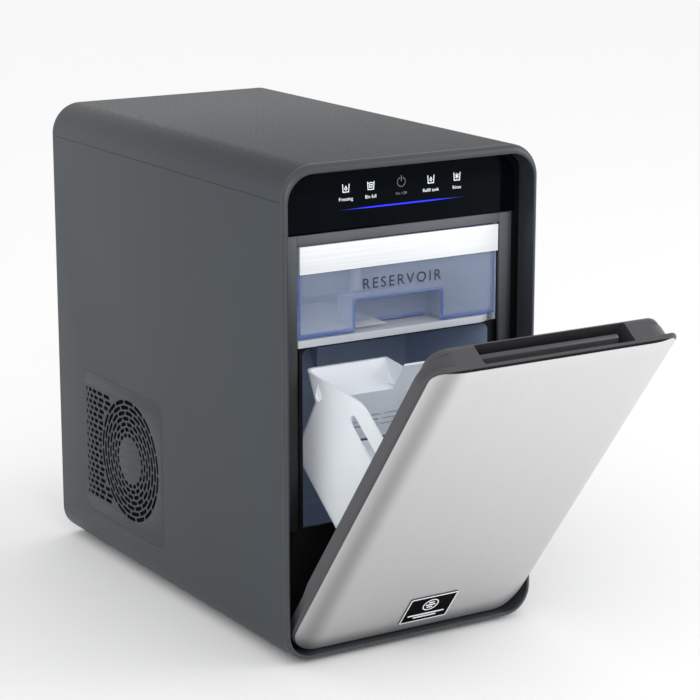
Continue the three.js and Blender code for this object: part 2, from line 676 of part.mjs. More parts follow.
// ---------- water tank ----------
function tankBody() {
  const inner = TANK_HALF - TANK_WALL;
  const notch = (grow, low) => box(-NOTCH.half - grow, NOTCH.half + grow, TANK_FRONT - 5,
    TANK_FRONT + NOTCH.depth + grow, low, NOTCH.top + grow);
  const outer = box(-TANK_HALF, TANK_HALF, TANK_FRONT, TANK_BACK, TANK_BOTTOM, TANK_TOP);
  const cavity = cut(
    box(-inner, inner, TANK_FRONT + TANK_WALL, TANK_BACK - TANK_WALL, TANK_BOTTOM + TANK_WALL, 400),
    notch(TANK_WALL, 200),
  );
  return cut(outer, notch(0, 200), cavity, rod('z', VALVE.x, VALVE.y, 5, 270, 290));
}

function tankValve() {
  const profile = [[0, 0.3], [4.6, 0.3], [4.6, 2.8], [13, 2.8], [13, 5], [6.4, 5.5], [4.6, 30], [0, 30]];
  const geometry = new THREE.LatheGeometry(profile.map(([a, b]) => new THREE.Vector2(a, b)), ROUND);
  geometry.rotateX(Math.PI / 2).translate(VALVE.x, VALVE.y, TANK_BOTTOM);
  return toSolid(geometry);
}

// ---------- assembly ----------
place(cabinet, 'front_ring', frontRing(), ringGrey);
place(cabinet, 'top_cover', topCover(), cabinetGrey);
for (const [name, side] of bothSides) {
  place(cabinet, `side_panel_${name}`, sidePanel(side), cabinetGrey);
  place(cabinet, `vent_grille_${name}`, ventGrille(side), cabinetGrey);
  place(cabinet, `strike_plate_${name}`, strikePlate(side), zinc);
  const inner = Math.min(side * 114, side * 125.3);
  const outer = Math.max(side * 114, side * 125.3);
  place(cabinet, `hinge_pin_${name}`, rod('x', HINGE_Y, HINGE_Z, PIN_RADIUS, inner, outer), zinc);
  for (const [end, y] of [['front', 45], ['rear', 400]]) {
    place(cabinet, `foot_${end}_${name}`, rod('z', side * 86, y, FOOT_RADIUS, -FOOT_HEIGHT, -GAP), rubber);
  }
}
place(cabinet, 'back_panel', backPanel(), cabinetGrey);
place(cabinet, 'base_pan', box(-BASE_HALF, BASE_HALF, FLANGE + GAP + 14.8, BACK_Y - GAP, 0, SKIN), zinc);
place(cabinet, 'inner_fascia', innerFascia(), ringGrey);
place(cabinet, 'front_bulkhead', frontBulkhead(), blackPlastic);
place(cabinet, 'control_glass', controlGlass(), blackGlass);
place(cabinet, 'light_bar', box(-65.5, 65.5, GLASS_Y, GLASS_Y + 0.9, 384.4, 386.2), ledBlue);
place(cabinet, 'control_board', box(-80, 80, GLASS_Y + 3.3, BULKHEAD_Y - GAP, 376, 412), boardGreen);
place(cabinet, 'tank_bay_liner', tankBayLiner(), linerBlue);
place(cabinet, 'tank_shelf', tankShelf(), shelfGrey);
place(cabinet, 'bucket_bay_liner', bucketBayLiner(), linerBlue);
place(cabinet, 'insulation_jacket', insulationJacket(), foamWhite);
place(cabinet, 'ice_chute', iceChute(), linerBlue);
place(cabinet, 'valve_seat', valveSeat(), bucketWhite);
place(cabinet, 'water_reservoir', waterReservoir(), shelfGrey);
place(cabinet, 'water_pump', waterPump(), blackPlastic);
const feedRoute = [[60, 194, 60.5], [60, 194, 66], [56, 202, 104], [40, 216, 150],
  [18, 222, 186], [4, 222, 190], [-1.5, 222, 190]];
place(cabinet, 'feed_tube', tube(feedRoute, 3.5, 14), rubber);
place(cabinet, 'compressor', compressor(), compressorBlack);
place(cabinet, 'compressor_bracket', compressorBracket(), zinc);
place(cabinet, 'condenser', condenser(), aluminium);
place(cabinet, 'fan_shroud', fanShroud(), blackPlastic);
place(cabinet, 'fan_motor', fanMotor(), zinc);
place(cabinet, 'fan_rotor', fanRotor(), blackPlastic);
place(cabinet, 'evaporator_barrel', evaporatorBarrel(), foamWhite);
place(cabinet, 'auger', auger(), steel);
place(cabinet, 'extruder_head', extruderHead(), steel);
place(cabinet, 'gear_motor', gearMotor(), zinc);
const suctionRoute = [[-1.5, 222, 290], [4, 222, 290], [22, 230, 288], [44, 268, 268], [60, 318, 215],
  [52, 346, 175], [52, 352, 158], [52, 352, 152.4]];
place(cabinet, 'suction_line', tube(suctionRoute, 4, 18), copper);
const dischargeRoute = [[2.4, 352, 90], [-20, 372, 90], [-70, 386, 120],
  [-104, 378, 156], [-111, 353, 160]];
place(cabinet, 'discharge_line', tube(dischargeRoute, 3, 18), copper);
place(cabinet, 'filter_drier', rod('z', -92, 405, 9, 30, 104), copper);
place(cabinet, 'main_board_box', box(-110, -20, 300, 425, 300, 390), blackPlastic);
place(cabinet, 'power_inlet', cut(
  join(box(INLET.x - 14, INLET.x + 14, 415, BACK_Y + 3, INLET.z - 10.5, INLET.z + 10.5),
    box(INLET.x - 18, INLET.x + 18, BACK_Y + 2.7, BACK_Y + 5, INLET.z - 14, INLET.z + 14)),
  box(INLET.x - 11.5, INLET.x + 11.5, 422, BACK_Y + 9, INLET.z - 8, INLET.z + 8)), blackPlastic);
place(cabinet, 'drain_outlet', cut(rod('y', DRAIN.x, DRAIN.z, 9, 415, 437.6),
  rod('y', DRAIN.x, DRAIN.z, 6, 410, 445)), blackPlastic);
place(cabinet, 'drain_cap', join(rod('y', DRAIN.x, DRAIN.z, 9, 438, 440.8),
  rod('y', DRAIN.x, DRAIN.z, 5.6, 426, 438.5)), rubber);

const tilt = new THREE.Group();
tilt.position.set(0, HINGE_Y, HINGE_Z);
tilt.rotation.x = THREE.MathUtils.degToRad(DOOR_OPEN_DEG);
cabinet.add(tilt);
const door = new THREE.Group();
door.position.set(0, DOOR_CLOSED_Y - HINGE_Y, DOOR_CLOSED_Z - HINGE_Z);
tilt.add(door);
place(door, 'door_frame', doorFrame(), darkFrame);
place(door, 'door_steel_panel', doorSteelPanel(), steel);
place(door, 'door_back_panel', doorBackPanel(), darkFrame);
place(door, 'badge_plate', badgePlate(), blackGlass);
place(door, 'handle_lip', handleLip(), darkFrame);
for (const [name, side] of bothSides) {
  place(door, `door_magnet_${name}`,
    box(side * 88 - 10, side * 88 + 10, HOUSING_BACK - 2, HOUSING_BACK - 0.1, 351.5, 359.5), zinc);
}
place(door, 'ice_bucket', iceBucket(), bucketWhite);

place(cabinet, 'tank_body', tankBody(), tankBlue);
place(cabinet, 'tank_front_bar', box(-101.7, 101.7, FASCIA_Y, TANK_FRONT - GAP, 333.5, 357.8), barWhite);
place(cabinet, 'tank_valve', tankValve(), bucketWhite);

// ---------- stand the object on its feet, centred on its plan ----------
const angle = tilt.rotation.x;
const topCorner = new THREE.Vector3(0, DOOR_CLOSED_Y - HINGE_Y + 0.7, DOOR_CLOSED_Z - HINGE_Z + DOOR_TOP)
  .applyAxisAngle(new THREE.Vector3(1, 0, 0), angle);
const steelCorner = new THREE.Vector3(0, DOOR_CLOSED_Y - HINGE_Y, DOOR_CLOSED_Z - HINGE_Z + STEEL_TOP)
  .applyAxisAngle(new THREE.Vector3(1, 0, 0), angle);
const frontReach = HINGE_Y + Math.min(topCorner.y, steelCorner.y);
cabinet.position.set(0, -(frontReach + DEPTH) / 2, FOOT_HEIGHT);

export default ice_maker;
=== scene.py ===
"""Countertop ice maker with its door open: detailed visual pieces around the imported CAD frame."""
import json
import math

import bmesh
import bpy
from mathutils import Matrix, Vector


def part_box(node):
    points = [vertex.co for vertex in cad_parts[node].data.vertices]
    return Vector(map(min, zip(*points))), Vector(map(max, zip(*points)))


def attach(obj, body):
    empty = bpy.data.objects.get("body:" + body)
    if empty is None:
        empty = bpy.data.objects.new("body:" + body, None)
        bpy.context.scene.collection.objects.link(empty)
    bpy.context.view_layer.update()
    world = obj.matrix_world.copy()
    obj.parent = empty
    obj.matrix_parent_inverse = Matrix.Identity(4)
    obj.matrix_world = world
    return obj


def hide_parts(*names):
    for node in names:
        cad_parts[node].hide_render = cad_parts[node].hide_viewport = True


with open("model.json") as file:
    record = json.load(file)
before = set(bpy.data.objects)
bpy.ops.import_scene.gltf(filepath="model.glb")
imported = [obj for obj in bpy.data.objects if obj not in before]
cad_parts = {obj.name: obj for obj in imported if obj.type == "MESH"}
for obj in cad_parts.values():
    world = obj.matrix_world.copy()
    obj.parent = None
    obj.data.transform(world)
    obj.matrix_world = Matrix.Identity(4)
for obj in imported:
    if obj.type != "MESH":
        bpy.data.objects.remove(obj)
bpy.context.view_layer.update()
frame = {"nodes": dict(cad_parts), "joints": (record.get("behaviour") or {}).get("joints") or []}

# ---------------------------------------------------------------- frames and sizes
# Two local frames, both in millimetres. The cabinet's has x across, y back from the front
# ring's face and z up from the cabinet's underside. The door's has x across, y as depth
# behind the steel face and z up along the door.
MM = 0.001
RING_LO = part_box("front_ring")[0]
JOINTS = {joint["name"]: joint for joint in frame["joints"]}
CABINET = Matrix.Translation((0, RING_LO[1], RING_LO[2])) @ Matrix.Scale(MM, 4)

DOOR_ANGLE = math.radians(max(JOINTS["door_tilt"]["range_deg"]))
HINGE = Vector(JOINTS["door_tilt"]["pos_m"])
HINGE_DEPTH = 10.04          # the hinge axis in the door's own frame
HINGE_UP = 24.06
DOOR = (
    Matrix.Translation(HINGE)
    @ Matrix.Rotation(DOOR_ANGLE, 4, "X")
    @ Matrix.Scale(MM, 4)
    @ Matrix.Translation((0, -HINGE_DEPTH, -HINGE_UP))
)



def local_box(node):
    """A CAD node's lowest and highest corners, in the cabinet's millimetres."""
    start = (0, RING_LO[1], RING_LO[2])
    return [tuple((value - base) / MM for value, base in zip(corner, start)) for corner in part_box(node)]


def middle_of(node):
    """The middle of a CAD node's box, in the cabinet's millimetres."""
    low, high = local_box(node)
    return [(a + b) / 2 for a, b in zip(low, high)]


def mirrored(side):
    """The cabinet's frame for a shape drawn on its left side; side 1 flips it to the right."""
    return CABINET @ Matrix.Scale(-side, 4, (1, 0, 0))


HALF_WIDTH, _, HEIGHT = local_box("front_ring")[1]
DEPTH = local_box("top_cover")[1][1]
TOP_RADIUS = 29
BASE_RADIUS = 26
SKIN = 2.2
ARC_STEPS = 20
SMOOTH_ANGLE = 35            # edges sharper than this many degrees stay sharp

# ---------------------------------------------------------------- outlines


def arc(cx, cy, radius, start, end, steps=ARC_STEPS):
    """Points from start to end, in degrees, about a centre."""
    points = []
    for step in range(steps + 1):
        angle = math.radians(start + (end - start) * step / steps)
        points.append((cx + radius * math.cos(angle), cy + radius * math.sin(angle)))
    return points


def rounded_rect(left, low, right, high, top_radius, base_radius=None, steps=ARC_STEPS):
    """Counter-clockwise outline whose upper and lower corners may have their own radii."""
    base = top_radius if base_radius is None else base_radius
    return (
        arc(right - base, low + base, base, -90, 0, steps)
        + arc(right - top_radius, high - top_radius, top_radius, 0, 90, steps)
        + arc(left + top_radius, high - top_radius, top_radius, 90, 180, steps)
        + arc(left + base, low + base, base, 180, 270, steps)
    )


def cabinet_outline(inset, steps=ARC_STEPS):
    half = HALF_WIDTH - inset
    return rounded_rect(-half, inset, half, HEIGHT - inset, TOP_RADIUS - inset, BASE_RADIUS - inset, steps)


# ---------------------------------------------------------------- mesh building


def build(name, vertices, faces, place):
    """A mesh object from millimetre points in a local frame."""
    mesh = bpy.data.meshes.new(name)
    mesh.from_pydata([tuple(place @ Vector(v)) for v in vertices], [], faces)
    mesh.validate()
    obj = bpy.data.objects.new(name, mesh)
    bpy.context.scene.collection.objects.link(obj)
    clean(obj)
    return obj


def clean(obj):
    """Merges doubled points, turns the faces outward and sets smooth shading with sharp edges."""
    work = bmesh.new()
    work.from_mesh(obj.data)
    bmesh.ops.remove_doubles(work, verts=work.verts, dist=1e-7)
    bmesh.ops.recalc_face_normals(work, faces=work.faces)
    limit = math.radians(SMOOTH_ANGLE)
    for edge in work.edges:
        edge.smooth = len(edge.link_faces) == 2 and edge.calc_face_angle(0) < limit
    for face in work.faces:
        face.smooth = True
    work.to_mesh(obj.data)
    work.free()


def loft(name, rings, place, capped=True):
    """Joins closed rings of equally many 3D points into one skin."""
    count = len(rings[0])
    vertices = [point for ring in rings for point in ring]
    faces = []
    for level in range(len(rings) - 1):
        for index in range(count):
            after = (index + 1) % count
            low, high = level * count, (level + 1) * count
            faces.append((low + index, low + after, high + after, high + index))
    if capped:
        last = (len(rings) - 1) * count
        faces.append(tuple(reversed(range(count))))
        faces.append(tuple(range(last, last + count)))
    return build(name, vertices, faces, place)


def hoop(name, rings, place):
    """A closed band: rings of points, joined end to end and back to the first ring."""
    return loft(name, rings + [rings[0]], place, capped=False)


AXES = {
    "x": Matrix(((0, 0, 1, 0), (1, 0, 0, 0), (0, 1, 0, 0), (0, 0, 0, 1))),
    "y": Matrix(((1, 0, 0, 0), (0, 0, 1, 0), (0, 1, 0, 0), (0, 0, 0, 1))),
    "z": Matrix.Identity(4),
}


def plate(name, outlines, start, end, axis, place, bevel=0.0, segments=3):
    """A flat plate with holes and rounded edges: the first outline is the rim, the rest are holes.

    The outline's two numbers are the other two axes in X, Y, Z order.
    """
    curve = bpy.data.curves.new(name, "CURVE")
    curve.dimensions = "2D"
    curve.fill_mode = "BOTH"
    curve.extrude = (end - start) / 2 - bevel
    curve.bevel_depth = bevel
    curve.bevel_resolution = segments
    curve.offset = -bevel
    for outline in outlines:
        spline = curve.splines.new("POLY")
        spline.points.add(len(outline) - 1)
        for point, (a, b) in zip(spline.points, outline):
            point.co = (a, b, 0, 1)
        spline.use_cyclic_u = True
    holder = bpy.data.objects.new(name + "_curve", curve)
    bpy.context.scene.collection.objects.link(holder)
    view = bpy.context.evaluated_depsgraph_get()
    mesh = bpy.data.meshes.new_from_object(holder.evaluated_get(view))
    bpy.data.objects.remove(holder)
    bpy.data.curves.remove(curve)
    mesh.name = name
    mesh.transform(place @ AXES[axis] @ Matrix.Translation((0, 0, (start + end) / 2)))
    obj = bpy.data.objects.new(name, mesh)
    bpy.context.scene.collection.objects.link(obj)
    clean(obj)
    return obj


def block(name, low, high, place, bevel=0.6, segments=2):
    """A box between two corners with rounded edges."""
    (x0, y0, z0), (x1, y1, z1) = low, high
    vertices = [(x, y, z) for x in (x0, x1) for y in (y0, y1) for z in (z0, z1)]
    faces = [(0, 1, 3, 2), (4, 6, 7, 5), (0, 4, 5, 1), (2, 3, 7, 6), (0, 2, 6, 4), (1, 5, 7, 3)]
    obj = build(name, vertices, faces, place)
    if bevel:
        round_edges(obj, bevel, segments)
    return obj


def apply_modifiers(obj):
    view = bpy.context.evaluated_depsgraph_get()
    mesh = bpy.data.meshes.new_from_object(obj.evaluated_get(view))
    obj.modifiers.clear()
    old = obj.data
    obj.data = mesh
    bpy.data.meshes.remove(old)


def round_edges(obj, width, segments=2, angle=SMOOTH_ANGLE):
    """Rounds the edges that are sharper than an angle; width is in millimetres."""
    bevel = obj.modifiers.new("round", "BEVEL")
    bevel.width = width * MM
    bevel.segments = segments
    bevel.limit_method = "ANGLE"
    bevel.angle_limit = math.radians(angle)
    bevel.use_clamp_overlap = True
    apply_modifiers(obj)
    clean(obj)


def even_shading(obj):
    """Keeps large faces flat beside their rounded edges."""
    modifier = obj.modifiers.new("even", "WEIGHTED_NORMAL")
    modifier.keep_sharp = True
    apply_modifiers(obj)
    return obj


def carve(obj, *tools, operation="DIFFERENCE"):
    """Cuts tools out of obj, or joins them to it, and removes the tools."""
    for tool in tools:
        modifier = obj.modifiers.new("carve", "BOOLEAN")
        modifier.operation = operation
        modifier.object = tool
        modifier.solver = "EXACT"
        apply_modifiers(obj)
        bpy.data.objects.remove(tool)
    clean(obj)
    return obj


def rod(name, start, end, radius, place):
    """A cylinder between two points."""
    sides = 32
    a, b = Vector(start), Vector(end)
    side = (b - a).orthogonal().normalized() * radius
    other = (b - a).normalized().cross(side)
    turns = [2 * math.pi * step / sides for step in range(sides)]
    rings = [[end + side * math.cos(turn) + other * math.sin(turn) for turn in turns] for end in (a, b)]
    return loft(name, rings, place)


def turned(profile, centre, axis, sides=40):
    """Rings of points: (radius, distance) pairs turned about a line along the z or the y axis."""
    rings = []
    for radius, distance in profile:
        ring = []
        for step in range(sides):
            angle = 2 * math.pi * step / sides
            a, b = centre[0] + radius * math.cos(angle), centre[1] + radius * math.sin(angle)
            ring.append((a, b, distance) if axis == "z" else (a, distance, b))
        rings.append(ring)
    return rings


def merge(name, *parts):
    """Several meshes as one object of separate closed shells."""
    work = bmesh.new()
    for part in parts:
        work.from_mesh(part.data)
    mesh = bpy.data.meshes.new(name)
    work.to_mesh(mesh)
    work.free()
    for part in parts:
        bpy.data.objects.remove(part)
    obj = bpy.data.objects.new(name, mesh)
    bpy.context.scene.collection.objects.link(obj)
    return obj


def finish_piece(obj, material, body, slot, *nodes):
    """Gives a piece its material and its body, and hides the CAD nodes that it stands for; the slot argument
    is not used.
    """
    obj.data.materials.clear()
    obj.data.materials.append(material)
    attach(obj, body)
    if nodes:
        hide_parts(*nodes)
    return obj


# ---------------------------------------------------------------- materials


def linear(red, green, blue):
    """A colour given as 0-255 display values, as the shader's linear colour."""
    out = []
    for value in (red, green, blue):
        value /= 255
        out.append(value / 12.92 if value <= 0.04045 else ((value + 0.055) / 1.055) ** 2.4)
    return (*out, 1.0)


class Nodes:
    """A new principled material and short calls that add nodes to it."""

    def __init__(self, name, color, roughness, metallic=0.0, **sockets):
        self.material = bpy.data.materials.new(name)
        self.material.use_nodes = True
        self.tree = self.material.node_tree
        self.shader = self.tree.nodes["Principled BSDF"]
        self.set("Base Color", color)
        self.set("Roughness", roughness)
        self.set("Metallic", metallic)
        for key, value in sockets.items():
            self.set(key.replace("_", " "), value)

    def set(self, socket, value):
        self.shader.inputs[socket].default_value = value

    def add(self, kind, **settings):
        node = self.tree.nodes.new(kind)
        for key, value in settings.items():
            setattr(node, key, value)
        return node

    def link(self, source, target):
        self.tree.links.new(source, target)

    def position(self, stretch=(1, 1, 1)):
        """Object coordinates, stretched along their axes."""
        coordinates = self.add("ShaderNodeTexCoord")
        mapping = self.add("ShaderNodeMapping")
        mapping.inputs["Scale"].default_value = stretch
        self.link(coordinates.outputs["Object"], mapping.inputs["Vector"])
        return mapping.outputs["Vector"]

    def noise(self, scale, detail=3.0, stretch=(1, 1, 1)):
        texture = self.add("ShaderNodeTexNoise")
        texture.inputs["Scale"].default_value = scale
        texture.inputs["Detail"].default_value = detail
        self.link(self.position(stretch), texture.inputs["Vector"])
        return texture.outputs["Fac"]

    def spread(self, value, low, high):
        """Maps a noise value, mostly between 0.3 and 0.7, to low..high."""
        return self.blend(value, 0.3, 0.7, low, high, "LINEAR")

    def blend(self, value, start, end, low, high, course="SMOOTHSTEP"):
        """Runs from low to high as a value goes from start to end."""
        node = self.add("ShaderNodeMapRange", interpolation_type=course)
        limits = {"From Min": start, "From Max": end, "To Min": low, "To Max": high}
        for socket, limit in limits.items():
            node.inputs[socket].default_value = limit
        self.link(value, node.inputs["Value"])
        return node.outputs["Result"]

    def along(self, axis):
        """The object coordinate along X, Y or Z, in metres."""
        separate = self.add("ShaderNodeSeparateXYZ")
        self.link(self.position(), separate.inputs["Vector"])
        return separate.outputs[axis]

    def compute(self, operation, *values):
        """A math node fed with numbers and other nodes' outputs."""
        node = self.add("ShaderNodeMath", operation=operation)
        for socket, value in zip(node.inputs, values):
            if isinstance(value, float):
                socket.default_value = value
            else:
                self.link(value, socket)
        return node.outputs[0]

    def dim(self, factor):
        """Scales the base colour's tint by a factor that varies over the surface."""
        tint = self.shader.inputs["Base Color"].links[0].from_socket
        node = self.add("ShaderNodeVectorMath", operation="SCALE")
        self.link(tint, node.inputs[0])
        self.link(factor, node.inputs["Scale"])
        self.link(node.outputs[0], self.shader.inputs["Base Color"])

    def tint(self, value, low, high):
        """Maps a noise value to a colour between two near ones."""
        ramp = self.add("ShaderNodeValToRGB")
        ramp.color_ramp.elements[0].position = 0.3
        ramp.color_ramp.elements[0].color = low
        ramp.color_ramp.elements[1].position = 0.7
        ramp.color_ramp.elements[1].color = high
        self.link(value, ramp.inputs["Fac"])
        self.link(ramp.outputs["Color"], self.shader.inputs["Base Color"])

    def bump(self, height, strength, distance):
        node = self.add("ShaderNodeBump")
        node.inputs["Strength"].default_value = strength
        node.inputs["Distance"].default_value = distance
        self.link(height, node.inputs["Height"])
        self.link(node.outputs["Normal"], self.shader.inputs["Normal"])

    def rough(self, value):
        self.link(value, self.shader.inputs["Roughness"])


def shade(color, factor):
    return (color[0] * factor, color[1] * factor, color[2] * factor, 1.0)


def moulded(name, color, roughness, grain=900, depth=0.25, **sockets):
    """Moulded plastic: a fine even grain, slight mottling and uneven gloss."""
    made = Nodes(name, color, roughness, **sockets)
    made.tint(made.noise(14, 2), shade(color, 0.94), shade(color, 1.06))
    made.rough(made.spread(made.noise(30, 3), roughness - 0.05, roughness + 0.05))
    made.bump(made.noise(grain, 2), depth, 0.0001)
    return made.material


def powder_coat(name, color):
    """Powder-coated sheet steel with orange peel, and painted shade on the top, which catches the most light.
    """
    made = Nodes(name, color, 0.45, Specular_IOR_Level=0.14)
    made.tint(made.noise(6, 2), shade(color, 0.97), shade(color, 1.03))
    # painted shade: the top is darkened against the light that falls on it from above
    made.dim(made.blend(made.along("Z"), 0.408, 0.432, 1.0, 0.68))
    made.rough(made.spread(made.noise(420, 2), 0.4, 0.51))
    made.bump(made.noise(620, 2), 0.12, 0.0002)
    return made.material


def brushed(name, color, roughness, stretch, strength=0.1):
    """Brushed metal: long fine scratches in one direction."""
    made = Nodes(name, color, roughness, 1.0)
    lines = made.noise(1.0, 4, stretch)
    made.tint(made.noise(1.0, 3, stretch), shade(color, 0.93), shade(color, 1.05))
    made.rough(made.spread(lines, roughness - 0.06, roughness + 0.08))
    made.bump(lines, strength, 0.00005)
    return made.material


def clear_plastic(name, color, face_alpha, edge_alpha):
    """Tinted clear plastic: nearly clear face on, deeper in colour where it is seen edge on."""
    made = Nodes(name, color, 0.06, IOR=1.5)
    facing = made.add("ShaderNodeLayerWeight")
    facing.inputs["Blend"].default_value = 0.35
    amount = made.blend(facing.outputs["Facing"], 0.0, 1.0, face_alpha, edge_alpha, "LINEAR")
    made.link(amount, made.shader.inputs["Alpha"])
    made.rough(made.spread(made.noise(60, 2), 0.03, 0.1))
    made.tint(made.noise(25, 2), shade(color, 0.95), shade(color, 1.05))
    return made.material


def glowing_line(name, color, strength, centre, half):
    """A light guide that is brightest in the middle and fades out to both ends."""
    made = Nodes(name, (0.0, 0.0, 0.02, 1.0), 0.4)
    away = made.compute("ABSOLUTE", made.compute("SUBTRACT", made.along("X"), centre))
    fade = made.blend(away, 0.25 * half, half, strength, 0.06 * strength)
    made.set("Emission Color", color)
    made.link(fade, made.shader.inputs["Emission Strength"])
    return made.material


def fascia_plastic():
    """Grey plastic with painted shadow: darker down the uprights, where the door's shadow falls, and a little
    lighter at their tops.
    """
    color = linear(84, 88, 93)
    made = Nodes("fascia_plastic", color, 0.45)
    made.tint(made.noise(14, 2), shade(color, 0.94), shade(color, 1.06))
    # painted shadow: darkest at the uprights' feet, fading out towards their tops, where it lightens a little
    made.dim(made.blend(made.along("Z"), 0.2, 0.39, 0.05, 1.15))
    made.rough(made.spread(made.noise(30, 3), 0.4, 0.5))
    made.bump(made.noise(700, 2), 0.1, 0.0001)
    return made.material


def door_steel():
    """Brushed steel with painted reflections: a soft dark band along its left bend, and a little darker
    towards its lower left, lighter towards its upper right.
    """
    made = Nodes("door_steel", linear(208, 208, 209), 0.46, 0.6)
    stretch = (2600, 8, 8)
    reflection_band_centre, reflection_band_half = 0.1065, 0.018    # metres left of the door's middle, and to either side
    lines = made.noise(1.0, 4, stretch)
    made.tint(made.noise(1.0, 3, stretch), linear(200, 200, 201), linear(208, 208, 209))
    # painted reflection: a soft dark band along the left bend
    away = made.compute("ABSOLUTE", made.compute("ADD", made.along("X"), reflection_band_centre))
    band = made.blend(away, 0.0, reflection_band_half, 0.58, 1.0)
    # painted reflection: darker towards the lower left, lighter towards the upper right
    slope = made.compute("MULTIPLY_ADD", made.along("X"), 0.6, made.along("Z"))
    rise = made.blend(slope, 0.0, 0.4, 0.84, 1.16)
    made.dim(made.compute("MULTIPLY", band, rise))
    made.rough(made.spread(lines, 0.44, 0.56))
    made.bump(lines, 0.06, 0.00005)
    return made.material


CABINET_PAINT = powder_coat("cabinet_paint", linear(66, 71, 75))
RING_PLASTIC = moulded("ring_plastic", linear(52, 56, 60), 0.32, 700, 0.1)
BLACK_PLASTIC = moulded("black_plastic", linear(12, 12, 15), 0.5, Specular_IOR_Level=0.2)
MATTE_BLACK = moulded("matte_black", linear(6, 6, 7), 0.8, 400, 0.2, Specular_IOR_Level=0.05)
DARK_STEEL = brushed("dark_steel", linear(38, 38, 41), 0.5, (40, 700, 40))
PANEL_GLASS = moulded("panel_glass", linear(2, 7, 12), 0.12, 60, 0.02, Specular_IOR_Level=0.04)
LINER_PLASTIC = moulded("liner_plastic", linear(172, 188, 214), 0.4, 500, 0.1)
TANK_LINER = moulded("tank_liner", linear(222, 230, 242), 0.4, 500, 0.1)
SHELF_PLASTIC = moulded("shelf_plastic", linear(188, 192, 200), 0.45)
WHITE_PLASTIC = moulded("white_plastic", linear(228, 233, 239), 0.4, 700, 0.12)
DOOR_PLASTIC = moulded("door_plastic", linear(58, 58, 62), 0.36, 800, 0.15)
RUBBER = moulded("foot_rubber", linear(26, 26, 27), 0.8, 400, 0.5)
DOOR_STEEL = door_steel()
TANK_TINT = clear_plastic("tank_tint", linear(196, 211, 242), 0.17, 0.42)
TANK_EDGE = clear_plastic("tank_edge", linear(84, 118, 190), 0.5, 0.85)
FINS = brushed("fins", linear(190, 193, 198), 0.4, (4, 4, 600))
STAINLESS = brushed("stainless", linear(198, 198, 200), 0.25, (6, 6, 700))
ZINC = brushed("zinc", linear(165, 169, 174), 0.45, (40, 700, 40))
COPPER = brushed("copper", linear(190, 120, 80), 0.3, (300, 40, 300))
FOAM = moulded("foam", linear(226, 224, 214), 0.9, 250, 0.6)
BOARD = moulded("board", linear(30, 92, 52), 0.5, 300, 0.2)
BAR_FINISH = brushed("bar_finish", linear(244, 247, 250), 0.42, (8, 8, 1500), strength=0.03)
BAR_FINISH.node_tree.nodes["Principled BSDF"].inputs["Metallic"].default_value = 0.1

# ---------------------------------------------------------------- outer shell
SEAM = 400
SEAM_GAP = 0.3
FLANGE = 5.4
GRILLE_THICK = 0.8
FAN_CENTRE = (289.7, 109.8)     # depth and height
FAN_RADIUS = 60                 # the rows of slots stop at this distance from the fan's middle


def vent_outline(inset):
    """The grille's rim; its hidden lip reaches further than its face."""
    low, high = local_box("vent_grille_left")
    trim = 4.3 + inset
    return rounded_rect(low[1] + trim, low[2] + trim, high[1] - trim, high[2] - trim, 12 - inset, steps=8)


def side_panel(name, side):
    half = HALF_WIDTH
    centre = half - BASE_RADIUS
    foot = 100
    high = SEAM - SEAM_GAP / 2
    outer = arc(-centre, BASE_RADIUS, BASE_RADIUS, 180, 270)
    inner = arc(-centre, BASE_RADIUS, BASE_RADIUS - SKIN, 270, 180)
    outline = [(-half, high), *outer, (-foot, 0), (-foot, SKIN), *inner, (-half + SKIN, high)]
    panel = plate(name, [outline], FLANGE + SEAM_GAP, DEPTH, "y", mirrored(side), 0.45, 2)
    hole = plate("hole", [vent_outline(-0.08)], -half - 5, -half + 10, "x", mirrored(side))
    return carve(panel, hole)


def slot_ring(centre, radius, width, start, end):
    """A slot with round ends along an arc, as an outline."""
    cy, cz = centre
    half = width / 2
    cap = math.degrees(half / radius)
    outer = arc(cy, cz, radius + half, start + cap, end - cap, 6)
    inner = arc(cy, cz, radius - half, end - cap, start + cap, 6)
    a, b = math.radians(end - cap), math.radians(start + cap)
    tip = arc(cy + radius * math.cos(a), cz + radius * math.sin(a), half, end - cap, end - cap + 180, 4)
    turn = start + cap + 180
    tail = arc(cy + radius * math.cos(b), cz + radius * math.sin(b), half, turn, turn + 180, 4)
    return outer[:-1] + tip + inner[1:-1] + tail[:-1]


def vent_grille(name, side):
    """Seven rings of round-ended slots around a plain middle, and rows of slots behind them."""
    holes = []
    for ring in range(7):
        radius = 24.6 + 5.3 * ring
        for slot in range(18):
            start = slot * 20 + (ring % 2) * 10
            gap = math.degrees(1.6 / radius) / 2
            holes.append(slot_ring(FAN_CENTRE, radius, 3.8, start + gap, start + 20 - gap))
    columns = [(335.5, 12.5), (350, 10.5), (361.5, 8), (370.5, 6), (378, 3.5)]
    for row in range(19):
        rise = (row - 9) * 5.75
        z = FAN_CENTRE[1] + rise
        edge = FAN_CENTRE[0] + math.sqrt(max(0, FAN_RADIUS ** 2 - rise ** 2))
        shift = -1.5 if row % 2 else 1.5
        for y, length in columns:
            start = max(y - length / 2 + shift, edge)
            end = y + length / 2 + shift
            if end - start > 2.6:
                holes.append(rounded_rect(start, z - 1.85, end, z + 1.85, 1.2, steps=2))
    face = -HALF_WIDTH
    return plate(name, [vent_outline(0.08), *holes], face, face + GRILLE_THICK, "x", mirrored(side), 0.12, 1)


def vent_shade_sheet(name, side):
    """A thin black sheet held behind a vent grille: painted shade that keeps the slots dark, in place of the
    shade inside the cabinet.
    """
    face = -HALF_WIDTH + GRILLE_THICK + 0.3
    return plate(name, [vent_outline(1)], face, face + 0.8, "x", mirrored(side), 0.2, 1)


